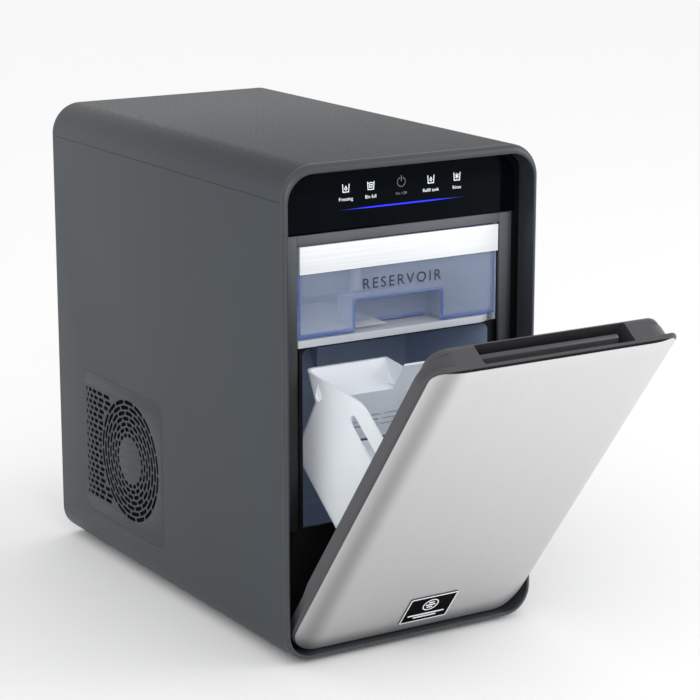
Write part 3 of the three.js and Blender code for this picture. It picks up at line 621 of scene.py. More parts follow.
def front_ring():
    """The rounded rim: one skin swept round the cabinet's outline and the mouth's outline."""
    half = HALF_WIDTH
    mouth = rounded_rect(-half + 4.7, 4.6, half - 4.7, HEIGHT - 8, 24, 21, 24)
    outer = cabinet_outline(0, 24)
    sleeve = cabinet_outline(2.6, 24)
    land = 0.86              # share of the rim's width taken by the outer curve
    rings = [[(x, 20, z) for x, z in sleeve], [(x, FLANGE, z) for x, z in sleeve],
             [(x, FLANGE, z) for x, z in outer]]
    steps = 10
    for step in range(1, steps + 1):
        angle = math.pi / 2 * step / steps
        share = (1 - math.cos(angle)) * land
        depth = FLANGE * (1 - math.sin(angle))
        rings.append(between(outer, mouth, share, depth))
    for step in range(1, 5):
        angle = math.pi / 2 * step / 4
        rings.append(between(outer, mouth, land + (1 - land) * math.sin(angle), 0.9 * (1 - math.cos(angle))))
    rings.append([(x, 20, z) for x, z in mouth])
    return hoop("ring_rim", rings, CABINET)


def between(outer, inner, share, depth):
    return [(a[0] + (b[0] - a[0]) * share, depth, a[1] + (b[1] - a[1]) * share) for a, b in zip(outer, inner)]


def top_cover():
    half = HALF_WIDTH
    centre = half - TOP_RADIUS
    corner = HEIGHT - TOP_RADIUS
    low = SEAM + SEAM_GAP / 2
    outline = [
        (-half, low),
        *arc(-centre, corner, TOP_RADIUS, 180, 90),
        *arc(centre, corner, TOP_RADIUS, 90, 0),
        (half, low), (half - SKIN, low),
        *arc(centre, corner, TOP_RADIUS - SKIN, 0, 90),
        *arc(-centre, corner, TOP_RADIUS - SKIN, 90, 180),
        (-half + SKIN, low),
    ]
    return plate("cover_shell", [outline], FLANGE + SEAM_GAP, DEPTH, "y", CABINET, 0.45, 2)


def outer_shell():
    finish_piece(front_ring(), RING_PLASTIC, "cabinet", "ring_grey", "front_ring")
    finish_piece(top_cover(), CABINET_PAINT, "cabinet", "cabinet_grey", "top_cover")
    for side, word in ((-1, "left"), (1, "right")):
        panel = side_panel(f"{word}_panel_shell", side)
        finish_piece(panel, CABINET_PAINT, "cabinet", "cabinet_grey", f"side_panel_{word}")
        grille = vent_grille(f"{word}_grille_plate", side)
        finish_piece(grille, CABINET_PAINT, "cabinet", "cabinet_grey", f"vent_grille_{word}")
        # painted shade: a black sheet behind each grille keeps its slots dark
        finish_piece(vent_shade_sheet(f"{word}_vent_shade_sheet", side), MATTE_BLACK, "cabinet", "black_plastic")


# ---------------------------------------------------------------- control panel
GLASS_FRONT = 20
GLASS_BOTTOM = 368
GLASS_TOP = 418.3
GLASS_HALF = 117.2


def label(name, text, x, z, height, depth, material, body, slot, spacing=1.0):
    """Printed lettering: thin raised text, centred on a point, facing the front."""
    curve = bpy.data.curves.new(name, "FONT")
    curve.body = text
    curve.size = height / 0.7
    curve.align_x = "CENTER"
    curve.align_y = "CENTER"
    curve.space_character = spacing
    curve.extrude = 0.03
    curve.resolution_u = 3
    holder = bpy.data.objects.new(name + "_text", curve)
    bpy.context.scene.collection.objects.link(holder)
    view = bpy.context.evaluated_depsgraph_get()
    mesh = bpy.data.meshes.new_from_object(holder.evaluated_get(view))
    bpy.data.objects.remove(holder)
    mesh.transform(CABINET @ Matrix.Translation((x, depth, z)) @ Matrix.Rotation(math.pi / 2, 4, "X"))
    obj = bpy.data.objects.new(name, mesh)
    bpy.context.scene.collection.objects.link(obj)
    clean(obj)
    return finish_piece(obj, material, body, slot)


def stroke(points, width, closed=False):
    """A line of even width through points, as small rectangles' outlines."""
    boxes = []
    places = [Vector(point) for point in points]
    if closed:
        places.append(places[0])
    for start, end in zip(places, places[1:]):
        along = (end - start).normalized() * width / 2
        side = Vector((-along.y, along.x))
        boxes.append([start - along + side, start - along - side, end + along - side, end + along + side])
    return boxes


def icon(name, boxes, x, z, scale, material):
    """A flat printed sign made of short strokes."""
    vertices, faces = [], []
    front, back = GLASS_FRONT - 0.12, GLASS_FRONT - 0.04
    for corners in boxes:
        first = len(vertices)
        for depth in (front, back):
            vertices += [(x + a * scale, depth, z + b * scale) for a, b in corners]
        faces.append(tuple(first + i for i in (0, 1, 2, 3)))
        faces.append(tuple(first + i for i in (7, 6, 5, 4)))
        for i in range(4):
            j = (i + 1) % 4
            faces.append((first + i, first + 4 + i, first + 4 + j, first + j))
    obj = build(name, vertices, faces, CABINET)
    return finish_piece(obj, material, "cabinet", "panel_glass")


def cup(extra):
    """A cup seen from the side, with something drawn in it."""
    sides = stroke([(-4, 4), (-3.4, -4), (3.4, -4), (4, 4)], 0.9)
    return sides + extra


def printed(name, color, dark, light, glow, strength):
    """Slightly mottled ink that shines a little, as if it were lit from behind the glass."""
    made = Nodes(name, linear(*color), 0.5)
    made.tint(made.noise(50, 2), linear(*dark), linear(*light))
    made.set("Emission Color", linear(*glow))
    made.set("Emission Strength", strength)
    return made.material


def control_panel():
    face = rounded_rect(-GLASS_HALF, GLASS_BOTTOM, GLASS_HALF, GLASS_TOP, 20, 1.5, 16)
    glass = plate("panel_sheet", [face], GLASS_FRONT, GLASS_FRONT + 3, "y", CABINET, 0.25, 2)
    finish_piece(glass, PANEL_GLASS, "cabinet", "panel_glass", "control_glass")
    low, high = local_box("light_bar")
    centre, span = (low[0] + high[0]) / 2, (high[0] - low[0]) / 2
    glow = glowing_line("blue_light", (0.004, 0.015, 1.0, 1.0), 2.4, centre * MM, span * MM)
    outline = [(-span, 385.3), (-span * 0.5, 384.75), (span * 0.5, 384.75), (span, 385.3),
               (span * 0.5, 385.85), (-span * 0.5, 385.85)]
    line = plate("light_line", [outline], GLASS_FRONT - 0.15, GLASS_FRONT + 0.4, "y", CABINET)
    finish_piece(line, glow, "cabinet", "indicator_blue", "light_bar")
    white = printed("print_white", (225, 230, 235), (218, 224, 230), (232, 236, 240), (225, 232, 240), 0.45)
    dim = printed("print_dim", (120, 126, 132), (112, 118, 124), (128, 134, 140), (120, 126, 132), 0.1)
    drop = stroke([(0, 2.2), (-1.5, -0.6), (0, -2), (1.5, -0.6)], 0.8, True)
    cube = stroke([(-1.6, -1.6), (-1.6, 1.2), (1.6, 1.2), (1.6, -1.6)], 0.8, True)
    cubes = cube + stroke([(-3, 2.6), (0, 3.4), (3, 2.6)], 0.8)
    power = stroke(arc(0, 0, 4.2, 120, 420, 14), 0.8) + stroke([(0, 1), (0, 5.4)], 0.8)
    star = []
    for tip in ((2, 2), (-2, 2), (0, 3.2)):
        star += stroke([(-tip[0], 1 - tip[1]), tip], 0.8)
    signs = [("freeze", -56.3, drop, "Freezing"), ("full", -31.6, cubes, "Bin full"),
             ("refill", 29.1, drop, "Refill tank"), ("rinse", 56, star, "Rinse")]
    for word, x, content, text in signs:
        icon(f"{word}_sign", cup(content), x, 403.5, 0.8, white)
        label(f"{word}_word", text, x, 394.2, 2.9, GLASS_FRONT - 0.08, white, "cabinet", "panel_glass")
    icon("power_sign", power, -1, 404, 0.95, dim)
    label("power_word", "On / Off", -1, 394.2, 2.3, GLASS_FRONT - 0.08, dim, "cabinet", "panel_glass")


# ---------------------------------------------------------------- front structure
OPENING_HALF = 103
OPENING_TOP = 358.8
SILL_TOP = 111
FASCIA_FRONT = 21.5
FASCIA_BACK = 24.4


def fascia():
    """Two uprights that round away from the opening, and a rail across their tops."""
    parts = []
    for side in (-1, 1):
        section = [(103, FASCIA_BACK), (103, 22.2), *arc(103.8, 22.3, 0.8, 180, 270, 4),
                   *arc(110.5, 28.5, 7, 270, 306, 8), (117.4, FASCIA_BACK)]
        section = [(side * x, y) for x, y in section]
        parts.append(plate("upright", [section], SILL_TOP, 367.2, "z", CABINET, 0, 0))
    parts.append(block("rail", (-OPENING_HALF, FASCIA_FRONT, OPENING_TOP),
                       (OPENING_HALF, FASCIA_BACK, 367.2), CABINET, 0.3))
    return merge("fascia_frame", *parts)


def bulkhead():
    frame_outline = cabinet_outline(SKIN + 1)
    hole = rounded_rect(-104.6, SILL_TOP, 104.6, 363.5, 1, steps=2)
    front = plate("bulkhead_sheet", [frame_outline, hole], 24.8, 27.8, "y", CABINET, 0.3, 1)
    outer = rounded_rect(-112, 70, 112, 270.2, 2, steps=2)
    inner = rounded_rect(-97.8, 79.7, 97.8, 269.9, 2, steps=2)
    collar = plate("collar", [outer, inner], 27.8, 29.5, "y", CABINET, 0.2, 1)
    half = local_box("bucket_bay_liner")[1][0]
    lip = rounded_rect(-half - 1, 78, half + 1, 270.2, 1, steps=2)
    opening = rounded_rect(-half + 2, 82, half - 2, 268.2, 6, steps=8)
    gasket = plate("gasket", [lip, opening], 26.4, 27.5, "y", CABINET, 0.2, 1)
    return merge("bulkhead_plate", front, collar, gasket)


def open_box(name, low, high, wall, bevel):
    """A thin-walled box that is open at its front."""
    outer = block(name, low, high, CABINET, 0)
    x0, y0, z0 = low
    x1, y1, z1 = high
    near, far = (x0 + wall, y0 - 20, z0 + wall), (x1 - wall, y1 - wall, z1 - wall)
    inner = block("inner", near, far, CABINET, bevel, 4)
    return carve(outer, inner)


def bay_liner():
    x, back, _ = local_box("bucket_bay_liner")[1]
    liner = open_box("bay_lining", (-x, 27.8, 80), (x, back, 270.2), 2, bevel=6)
    mouth = block("mouth", (-64, 150, 202), (0, 175, 259), CABINET, 3)
    drain = rod("drain", (-60, 120, 60), (-60, 120, 100), 4, CABINET)
    feed = rod("feed", (31, 150, 262), (31, 175, 262), 5, CABINET)
    return carve(liner, mouth, drain, feed)


def tank_lining():
    liner = open_box("tank_lining", (-104.3, 28.1, 260), (104.3, 167, 363), 1.9, bevel=4)
    bottom = block("bottom", (-120, 0, 200), (120, 200, 270.5), CABINET, 0)
    return carve(liner, bottom)


def shelf():
    half = 102.1
    outline = [(-half, 22), *arc(half - 22, 44, 22, -90, 0), (half, 164.7), (-half, 164.7)]
    sheet = plate("shelf_sheet", [outline], 270.5, 276.9, "z", CABINET, 0.7, 3)
    hole = rod("hole", (31, 144, 260), (31, 144, 290), 9, CABINET)
    return carve(sheet, hole)


def front_structure():
    finish_piece(fascia(), fascia_plastic(), "cabinet", "ring_grey", "inner_fascia")
    finish_piece(bulkhead(), BLACK_PLASTIC, "cabinet", "black_plastic", "front_bulkhead")
    finish_piece(bay_liner(), LINER_PLASTIC, "cabinet", "liner_blue", "bucket_bay_liner")
    finish_piece(tank_lining(), TANK_LINER, "cabinet", "liner_blue", "tank_bay_liner")
    finish_piece(shelf(), SHELF_PLASTIC, "cabinet", "shelf_grey", "tank_shelf")


# ---------------------------------------------------------------- water tank
(_, TANK_FRONT, TANK_BOTTOM), (TANK_HALF, TANK_BACK, TANK_TOP) = local_box("tank_body")
NOTCH_HALF = 44
NOTCH_DEPTH = 25
NOTCH_TOP = 304.5


def tank_shell():
    """The clear bin with its finger notch, which is open at the front and below."""
    wall = 2.4
    outer = block("tank_bin", (-TANK_HALF, TANK_FRONT, TANK_BOTTOM),
                  (TANK_HALF, TANK_BACK, TANK_TOP), CABINET, 0)
    notch = block("notch", (-NOTCH_HALF, TANK_FRONT - 9, TANK_BOTTOM - 9),
                  (NOTCH_HALF, TANK_FRONT + NOTCH_DEPTH, NOTCH_TOP), CABINET, 3, 3)
    carve(outer, notch)
    round_edges(outer, 1.4, 3)
    inner = block("inner", (-TANK_HALF + wall, TANK_FRONT + wall, TANK_BOTTOM + wall),
                  (TANK_HALF - wall, TANK_BACK - wall, TANK_TOP + 20), CABINET, 2.5, 3)
    keep = block("keep", (-NOTCH_HALF - wall, TANK_FRONT - 9, TANK_BOTTOM - 9),
                 (NOTCH_HALF + wall, TANK_FRONT + NOTCH_DEPTH + wall, NOTCH_TOP + wall), CABINET, 2, 3)
    carve(inner, keep)
    return carve(outer, inner)


def tank_edges():
    """Thicker coloured edges: the base's front strip and the notch's corners."""
    front = TANK_FRONT - 0.15
    strips = []
    for side in (-1, 1):
        inner, outer = side * (NOTCH_HALF + 0.4), side * (TANK_HALF - 0.8)
        strips.append(block("strip", (min(inner, outer), front, TANK_BOTTOM + 0.4),
                            (max(inner, outer), front + 2.6, TANK_BOTTOM + 3.4), CABINET, 0.8))
        strips.append(block("strip", (min(inner, inner + side * 2), front, TANK_BOTTOM + 3.6),
                            (max(inner, inner + side * 2), front + 2.4, NOTCH_TOP + 1.5), CABINET, 0.8))
        strips.append(block("strip", (side * (TANK_HALF - 1.9) - 0.9, front, TANK_BOTTOM + 3.6),
                            (side * (TANK_HALF - 1.9) + 0.9, front + 2.2, 333), CABINET, 0.7))
    strips.append(block("strip", (-NOTCH_HALF + 0.6, TANK_FRONT + NOTCH_DEPTH + 0.1, TANK_BOTTOM + 0.3),
                        (NOTCH_HALF - 0.6, TANK_FRONT + NOTCH_DEPTH + 2.2, TANK_BOTTOM + 3), CABINET, 0.6))
    for depth in (front, TANK_FRONT + NOTCH_DEPTH + 0.4):
        strips.append(block("strip", (-NOTCH_HALF, depth, NOTCH_TOP + 0.3),
                            (NOTCH_HALF, depth + 1.8, NOTCH_TOP + 1.9), CABINET, 0.6))
    return merge("tank_rim_lines", *strips)


def tank_floor_ribs():
    """Fine slanting ribs moulded in the left part of the tank's floor."""
    vertices, faces = [], []
    left, right, near, far = -94.0, -8.0, 30.0, 128.0
    low, high = TANK_BOTTOM + 2.45, TANK_BOTTOM + 3.2
    pitch = 4.4
    count = int((right - left + far - near) / pitch)
    for index in range(1, count):
        shift = index * pitch
        start = (left + max(0, shift - (far - near)), near + min(shift, far - near))
        end = (left + min(shift, right - left), near + max(0, shift - (right - left)))
        side = Vector((1, 1)).normalized() * 0.75
        first = len(vertices)
        for x, y, sign in ((*start, -1), (*start, 1), (*end, 1), (*end, -1)):
            for z, grow in ((low, 1), (high, 0.4)):
                vertices.append((x + side.x * sign * grow, y + side.y * sign * grow, z))
        a = [first + i for i in range(8)]
        faces += [(a[0], a[2], a[4], a[6]), (a[1], a[7], a[5], a[3]), (a[0], a[1], a[3], a[2]),
                  (a[2], a[3], a[5], a[4]), (a[4], a[5], a[7], a[6]), (a[6], a[7], a[1], a[0])]
    return build("tank_ribs", vertices, faces, CABINET)


def tank_parts():
    finish_piece(tank_shell(), TANK_TINT, "tank", "tank_blue", "tank_body")
    finish_piece(tank_edges(), TANK_EDGE, "tank", "tank_blue")
    finish_piece(tank_floor_ribs(), SHELF_PLASTIC, "tank", "tank_blue")
    bar = block("bar_strip", (-100.3, FASCIA_FRONT, 333.5),
                (101.7, TANK_FRONT - 0.3, 357.2), CABINET, 0.35, 3)
    finish_piece(bar, BAR_FINISH, "tank", "bar_white", "tank_front_bar")
    low = TANK_BOTTOM + 0.3
    profile = [(4.6, low), (4.6, low + 2.3), (13, low + 2.3), (13.4, low + 2.8), (13, low + 4.4),
               (7.5, low + 5), (6.4, low + 6.5), (4.7, low + 28.5), (4.2, low + 29.7), (3, low + 29.7),
               (3, low + 26)]
    valve = loft("valve_post", turned(profile, (31, 144), "z", 48), CABINET)
    finish_piece(valve, WHITE_PLASTIC, "tank", "white_plastic", "tank_valve")
    ink = Nodes("label_ink", linear(24, 34, 50), 0.5)
    ink.tint(ink.noise(40, 2), linear(24, 36, 52), linear(34, 46, 64))
    label("tank_word", "RESERVOIR", 3, 318, 9.2, TANK_FRONT - 0.25, ink.material, "tank", "tank_blue", 1.3)


# ---------------------------------------------------------------- door
STEEL_HALF = 118.9
STEEL_TOP = 366
STEEL_RADIUS = 23            # the steel's lower corners
STEEL_TOP_RADIUS = 12
STEEL_THICK = 0.9
FLAT_HALF = 90
EDGE_DEPTH = 5.6
DOOR_HALF = 121.3
DOOR_BOTTOM = -1
DOOR_TOP = 368.5
BODY_BACK = 18
HOUSING_BACK = 27
FLANGE_BACK = 20
HOUSING_HALF = 113
BODY_HALF = 119.7
SKIRT_HALF = 116.3           # inner faces of the flanges down the door's sides
POCKET = {"half": 73, "front": 4.5, "back": 24.5, "floor": 338}


def sweep_back(x):
    """How far the door's face falls back at a distance from its middle."""
    run = max(0.0, abs(x) - FLAT_HALF) / (STEEL_HALF - FLAT_HALF)
    return EDGE_DEPTH * run * run


def corner_rise(x, radius):
    """How far a rounded corner lifts the steel's edge at a distance from the middle."""
    over = max(0.0, abs(x) - (STEEL_HALF - radius))
    return radius - math.sqrt(max(0.0, radius ** 2 - over ** 2))


def steel_sheet():
    """Columns across the door, each cut short by the rounded corners."""
    columns = [step / 20 * (STEEL_HALF - STEEL_RADIUS) for step in range(20)]
    columns += [STEEL_HALF - STEEL_RADIUS * (1 - math.sin(math.radians(angle))) for angle in range(0, 91, 3)]
    columns = [-x for x in reversed(columns[1:])] + columns
    front, back = [], []
    rows = 24
    for x in columns:
        low, high = corner_rise(x, STEEL_RADIUS), STEEL_TOP - corner_rise(x, STEEL_TOP_RADIUS)
        depth = sweep_back(x)
        heights = [low + (high - low) * row / rows for row in range(rows + 1)]
        front.append([(x, depth, z) for z in heights])
        back.append([(x, depth + STEEL_THICK, z) for z in heights])
    vertices = [point for column in front + back for point in column]
    size = rows + 1
    offset = len(columns) * size
    faces = []
    for i in range(len(columns) - 1):
        for j in range(rows):
            a, b = i * size + j, (i + 1) * size + j
            faces.append((a, b, b + 1, a + 1))
            faces.append((a + offset, a + 1 + offset, b + 1 + offset, b + offset))
        for j in (0, rows):
            a, b = i * size + j, (i + 1) * size + j
            faces.append((a, a + offset, b + offset, b))
    for i in (0, len(columns) - 1):
        for j in range(rows):
            a = i * size + j
            faces.append((a, a + 1, a + 1 + offset, a + offset))
    sheet = build("steel_skin", vertices, faces, DOOR)
    round_edges(sheet, 0.3, 2, 50)
    return sheet


def bead_loop(inset, depth, follow):
    """One loop of the frame's bead; follow is how closely it keeps to the steel's sweep."""
    half = DOOR_HALF - inset
    outline = rounded_rect(-half, DOOR_BOTTOM + inset, half, DOOR_TOP - inset, 14 - inset, 25 - inset, 18)
    return [(x, depth + sweep_back(x) * follow, z) for x, z in outline]


def body_loop(depth, follow=0.0):
    """One loop of the frame's body, which has larger upper corners than the bead."""
    outline = rounded_rect(-BODY_HALF, DOOR_BOTTOM + 0.6, BODY_HALF, DOOR_TOP - 0.6, 26, 23, 18)
    return [(x, depth + sweep_back(x) * follow, z) for x, z in outline]


def housing_loop(inset, depth):
    """One loop of the handle housing, which is narrower than the body."""
    half, high = HOUSING_HALF - inset, DOOR_TOP - 0.6 - inset
    outline = rounded_rect(-half, DOOR_BOTTOM + 10, half, high, 16 - inset, 14, 18)
    return [(x, depth, z) for x, z in outline]


def door_frame():
    """A bead round the steel, a handle housing across the top and flanges down the sides."""
    gap = DOOR_HALF - STEEL_HALF - 0.3
    rings = [
        bead_loop(gap + 4, 1.3, 1), bead_loop(gap, 1.3, 1), bead_loop(gap, 0.9, 1),
        bead_loop(gap - 0.25, 0.75, 1), bead_loop(gap - 0.7, 0.65, 1), bead_loop(gap - 1.2, 0.9, 1),
        bead_loop(0.15, 1.6, 0.9), bead_loop(0, 2.4, 0.85), bead_loop(0, 4.6, 0.7), bead_loop(0.2, 5.4, 0.6),
        bead_loop(0.5, 5.8, 0.55), body_loop(5.8, 0.55), body_loop(FLANGE_BACK),
        housing_loop(0.05, FLANGE_BACK),
    ]
    for inset, depth in ((0.05, 23), (0.4, 24.9), (1.4, 26.3), (2.6, HOUSING_BACK)):
        rings.append(housing_loop(inset, depth))
    shell = loft("frame_shell", rings, DOOR)
    flange_edge = FLANGE_BACK - 0.05
    behind = [(60, -10), (BODY_BACK, -10), (BODY_BACK, 60), (flange_edge, 76), (flange_edge, 326),
              (HOUSING_BACK, 334), (60, 334)]
    between_flanges = [(60, -10), (BODY_BACK, -10), (BODY_BACK, 323), (HOUSING_BACK, 334), (60, 334)]
    hollow = rounded_rect(-SKIRT_HALF, 3, SKIRT_HALF, 318, 0.5, 20, 10)
    tools = [
        plate("behind", [behind], -150, 150, "x", DOOR),
        plate("between", [between_flanges], -SKIRT_HALF, SKIRT_HALF, "x", DOOR),
        plate("hollow", [hollow], 12, 40, "y", DOOR),
        block("pocket", (-POCKET["half"], POCKET["front"], POCKET["floor"]),
              (POCKET["half"], POCKET["back"], 420), DOOR, 1.5, 3),
    ]
    for side in (-1, 1):
        x = side * 88
        tools.append(block("seat", (x - 10.3, HOUSING_BACK - 2.3, 351.2), (x + 10.3, 60, 359.8), DOOR, 0))
    return even_shading(carve(shell, *tools))


def handle_roll():
    """Lip for the fingertips: it scoops down behind the pocket's front wall and rises to a crest."""
    front = POCKET["front"] + 0.3
    crest = arc(14.5, 362.5, 3.3, -5, 130, 12)
    start = Vector(crest[-1])
    bend, end = Vector((9.5, 358.5)), Vector((front, 357.5))
    scoop = []
    for step in range(1, 11):
        t = step / 10
        scoop.append(tuple(start * (1 - t) ** 2 + bend * 2 * t * (1 - t) + end * t * t))
    section = [(front, 350), (16, 350), *crest, *scoop]
    low_box, high_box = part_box("handle_lip")
    return plate("lip_roll", [section], low_box[0] / MM, high_box[0] / MM, "x", DOOR, 0.2, 2)


def door_back():
    outline = rounded_rect(-115.9, 3.4, 115.9, 317.6, 0.8, 19.5, 12)
    sheet = plate("door_lining", [outline], 15.7, BODY_BACK, "y", DOOR, 0.3, 2)
    ledge = block("ledge", (-80, BODY_BACK - 0.5, 100), (80, 30, 106.6), DOOR, 1.2, 3)
    return carve(sheet, ledge, operation="UNION")


def badge():
    """A small plate with a raised rim and a plain emblem: a ring with three bars."""
    x, z, width, height = 10.5, 29.8, 49, 36
    low_x, low_z = x - width / 2, z - height / 2
    outer = rounded_rect(low_x, low_z, low_x + width, low_z + height, 1.5, steps=4)
    inner = rounded_rect(low_x + 1, low_z + 1, low_x + width - 1, low_z + height - 1, 1, steps=4)
    base = plate("badge_base", [outer], -1.1, -0.3, "y", DOOR, 0.2, 2)
    finish_piece(base, MATTE_BLACK, "door", "panel_glass", "badge_plate")
    parts = [plate("rim", [outer, inner], -1.5, -1.05, "y", DOOR, 0.1, 1)]
    ring = [arc(x, z + 5, 8, 0, 360, 28)[:-1], arc(x, z + 5, 6.9, 0, 360, 28)[:-1]]
    parts.append(plate("ring", ring, -1.5, -1.05, "y", DOOR, 0.1, 1))
    for index, reach in enumerate((3, 5, 3)):
        low = z + 0.8 + index * 3.4
        bar_outline = rounded_rect(x - reach, low, x + reach, low + 1.6, 0.6, steps=2)
        parts.append(plate("bar", [bar_outline], -1.5, -1.05, "y", DOOR, 0.1, 1))
    for reach, low in ((19, z - 9), (12, z - 12.6)):
        line = rounded_rect(x - reach, low, x + reach, low + 1.7, 0.6, steps=2)
        parts.append(plate("line", [line], -1.5, -1.05, "y", DOOR, 0.1, 1))
    finish_piece(merge("badge_emblem", *parts), BAR_FINISH, "door", "stainless")


def door_parts():
    finish_piece(steel_sheet(), DOOR_STEEL, "door", "door_steel", "door_steel_panel")
    finish_piece(door_frame(), DOOR_PLASTIC, "door", "door_plastic", "door_frame")
    finish_piece(handle_roll(), DOOR_PLASTIC, "door", "door_plastic", "handle_lip")
    finish_piece(door_back(), DOOR_PLASTIC, "door", "door_plastic", "door_back_panel")
    badge()


# ---------------------------------------------------------------- ice bucket
BUCKET_HALF = 93
BUCKET_WALL = 2.2
BUCKET_CORNER = 9
SPOUT_END = -9.3
FOLD = (138.5, 170.7)        # where the back wall turns out into the spout
TIP = (163.5, 183)
RIM = [(142, 195.7), (124, 206.8), (106, 217.7), (94, 225.2), (87, 229), (80, 231), (72, 231.6),
       (46, 231.9), (10, 234.9)]


def inset_polygon(points, distance):
    """Moves every side of a counter-clockwise polygon inward by a distance."""
    moved = []
    for index, here in enumerate(points):
        before, after = Vector(points[index - 1]), Vector(points[(index + 1) % len(points)])
        first, second = (Vector(here) - before).normalized(), (after - Vector(here)).normalized()
        normals = Vector((-first.y, first.x)), Vector((-second.y, second.x))
        reach = distance / (1 + normals[0].dot(normals[1]))
        moved.append(tuple(Vector(here) + (normals[0] + normals[1]) * reach))
    return moved


def bucket_form(name, inset, step_at):
    """The bucket as a solid: side profiles across its width, with rounded upright corners."""
    base = [(20.5, 262), *arc(26.5, 113, 6, 180, 270, 4), *arc(128, 113, 6, 270, 356, 4), FOLD]
    flared = inset_polygon([*base, (185, 193.6), (185, 262)], inset)
    straight = inset_polygon([*base, (140.6, 200.4), (144, 262)], inset)
    half, corner = BUCKET_HALF - inset, BUCKET_CORNER - inset
    rings = []
    for step in range(8):
        angle = math.pi / 2 * step / 7
        shape = inset_polygon(flared, corner * (1 - math.sin(angle)))
        rings.append([(-half + corner * (1 - math.cos(angle)), *point) for point in shape])
    rings.append([(step_at - 0.05, *point) for point in flared])
    rings.append([(step_at + 0.05, *point) for point in straight])
    for step in range(7, -1, -1):
        angle = math.pi / 2 * step / 7
        shape = inset_polygon(straight, corner * (1 - math.sin(angle)))
        rings.append([(half - corner * (1 - math.cos(angle)), *point) for point in shape])
    return loft(name, rings, DOOR)


def bucket():
    """A tapered bin whose back wall flares out into a spout on the left."""
    body = bucket_form("ice_bin", 0, SPOUT_END)
    hollow = bucket_form("hollow", BUCKET_WALL, SPOUT_END - BUCKET_WALL)
    spout_rim = [(195, 167.5), TIP, *RIM, (10, 300), (195, 300)]
    plain_rim = [(195, 199.2), (133, 199.2), *RIM[1:], (10, 300), (195, 300)]
    carve(body, plate("rim", [spout_rim], -120, SPOUT_END + 0.06, "x", DOOR))
    carve(body, plate("rim", [plain_rim], SPOUT_END + 0.06, 120, "x", DOOR))
    carve(body, hollow)
    tools = [
        plate("slot", [rounded_rect(29.5, 203, 88, 215, 5.9, steps=8)], -120, 120, "x", DOOR),
        plate("eye", [teardrop()], -120, -84, "x", DOOR),
    ]
    for column in range(5):
        x = -57 + column * 30
        for row in range(3):
            z = 128.1 + row * 6.5
            tools.append(block("drain", (x - 13, 120, z - 1.2), (x + 13, 150, z + 1.2), DOOR, 0))
        tools.append(block("drain", (x - 13, 130.5, 100), (x + 13, 150, 112), DOOR, 0))
    carve(body, *tools)
    round_edges(body, 0.5, 2, 40)
    top, left, right, corner = (-11, 160, 181), (-22.5, 145, 173.4), (-11, 137.4, 177), (-11, 137.4, 170.4)
    gusset = build("gusset", [top, left, right, corner], [(0, 1, 2), (0, 2, 3), (0, 3, 1), (1, 3, 2)], DOOR)
    return even_shading(merge("ice_bin", body, gusset))


def teardrop():
    """The hook hole at the spout's corner: round below, drawn to a point above."""
    return [*arc(132.2, 184, 5.2, 115, 335, 14), (139.4, 191.8)]


# ---------------------------------------------------------------- back and underside


def back_panel():
    x, _, z = middle_of("power_inlet")
    holes = [rounded_rect(x - 14.3, z - 10.8, x + 14.3, z + 10.8, 1.5, steps=3)]
    x, _, z = middle_of("drain_outlet")
    holes.append(arc(x, z, 9.4, 0, 360, 32)[:-1])
    for column in range(13):
        for base in (230, 300):
            x = -75 + column * 12.5
            holes.append(rounded_rect(x - 2, base, x + 2, base + 55, 2, steps=4))
    low, high = local_box("back_panel")
    return plate("back_sheet", [cabinet_outline(SKIN + 0.3), *holes], low[1], high[1], "y", CABINET, 0.35, 2)


def inlet():
    """The power socket: a flanged shell with three flat pins in its well."""
    x, _, z = middle_of("power_inlet")
    back = local_box("power_inlet")[1][1]
    flange = rounded_rect(x - 18, z - 14, x + 18, z + 14, 4, steps=5)
    well = [(x - 11.5, z - 8), (x + 11.5, z - 8), (x + 11.5, z + 3.5), (x + 7, z + 8), (x - 7, z + 8),
            (x - 11.5, z + 3.5)]
    shell = plate("inlet_shell", [flange, well], back - 2.3, back, "y", CABINET, 0.5, 2)
    body_outline = rounded_rect(x - 14, z - 10.5, x + 14, z + 10.5, 2, steps=4)
    body = plate("inlet_tube", [body_outline, well], 422, back - 2.3, "y", CABINET)
    floor = plate("inlet_floor", [body_outline], 415, 422, "y", CABINET)
    socket = merge("inlet_body", shell, body, floor)
    finish_piece(socket, BLACK_PLASTIC, "cabinet", "black_plastic", "power_inlet")
    pins = []
    for dx, dz in ((-6, -2.5), (6, -2.5), (0, 2)):
        pins.append(block("pin", (x + dx - 1, 422, z + dz - 2), (x + dx + 1, 434, z + dz + 2), CABINET, 0.4))
    finish_piece(merge("inlet_pins", *pins), STAINLESS, "cabinet", "stainless")


def foot(name, node):
    x, y, _ = middle_of(node)
    bottom = local_box(node)[0][2]
    profile = [(9.2, bottom + 2.7), (11, bottom + 2.4), (11, bottom + 0.8), (10.2, bottom), (6.5, bottom),
               (6, bottom + 0.5), (0.5, bottom + 0.5)]
    pad = loft(name, turned(profile, (x, y), "z"), CABINET)
    finish_piece(pad, RUBBER, "cabinet", "rubber", node)


def cap_and_outlet():
    """The drain's tube, and the rubber cap whose plug goes into it."""
    x, _, z = middle_of("drain_outlet")
    start, end = (corner[1] for corner in local_box("drain_outlet"))
    profile = [(6, start), (9, start), (9, end - 0.4), (8.6, end), (6.3, end), (6, end - 0.3)]
    tube = hoop("outlet_tube", turned(profile, (x, z), "y"), CABINET)
    finish_piece(tube, BLACK_PLASTIC, "cabinet", "black_plastic", "drain_outlet")
    profile = [(5, 426), (5.6, 426.6), (5.6, 438), (8.4, 438), (9, 438.5), (9, 440.2), (8.4, 440.8),
               (3.2, 440.8), (3, 440.4), (0.5, 440.4)]
    cap = loft("cap_plug", turned(profile, (x, z), "y"), CABINET)
    finish_piece(cap, RUBBER, "cap", "rubber", "drain_cap")


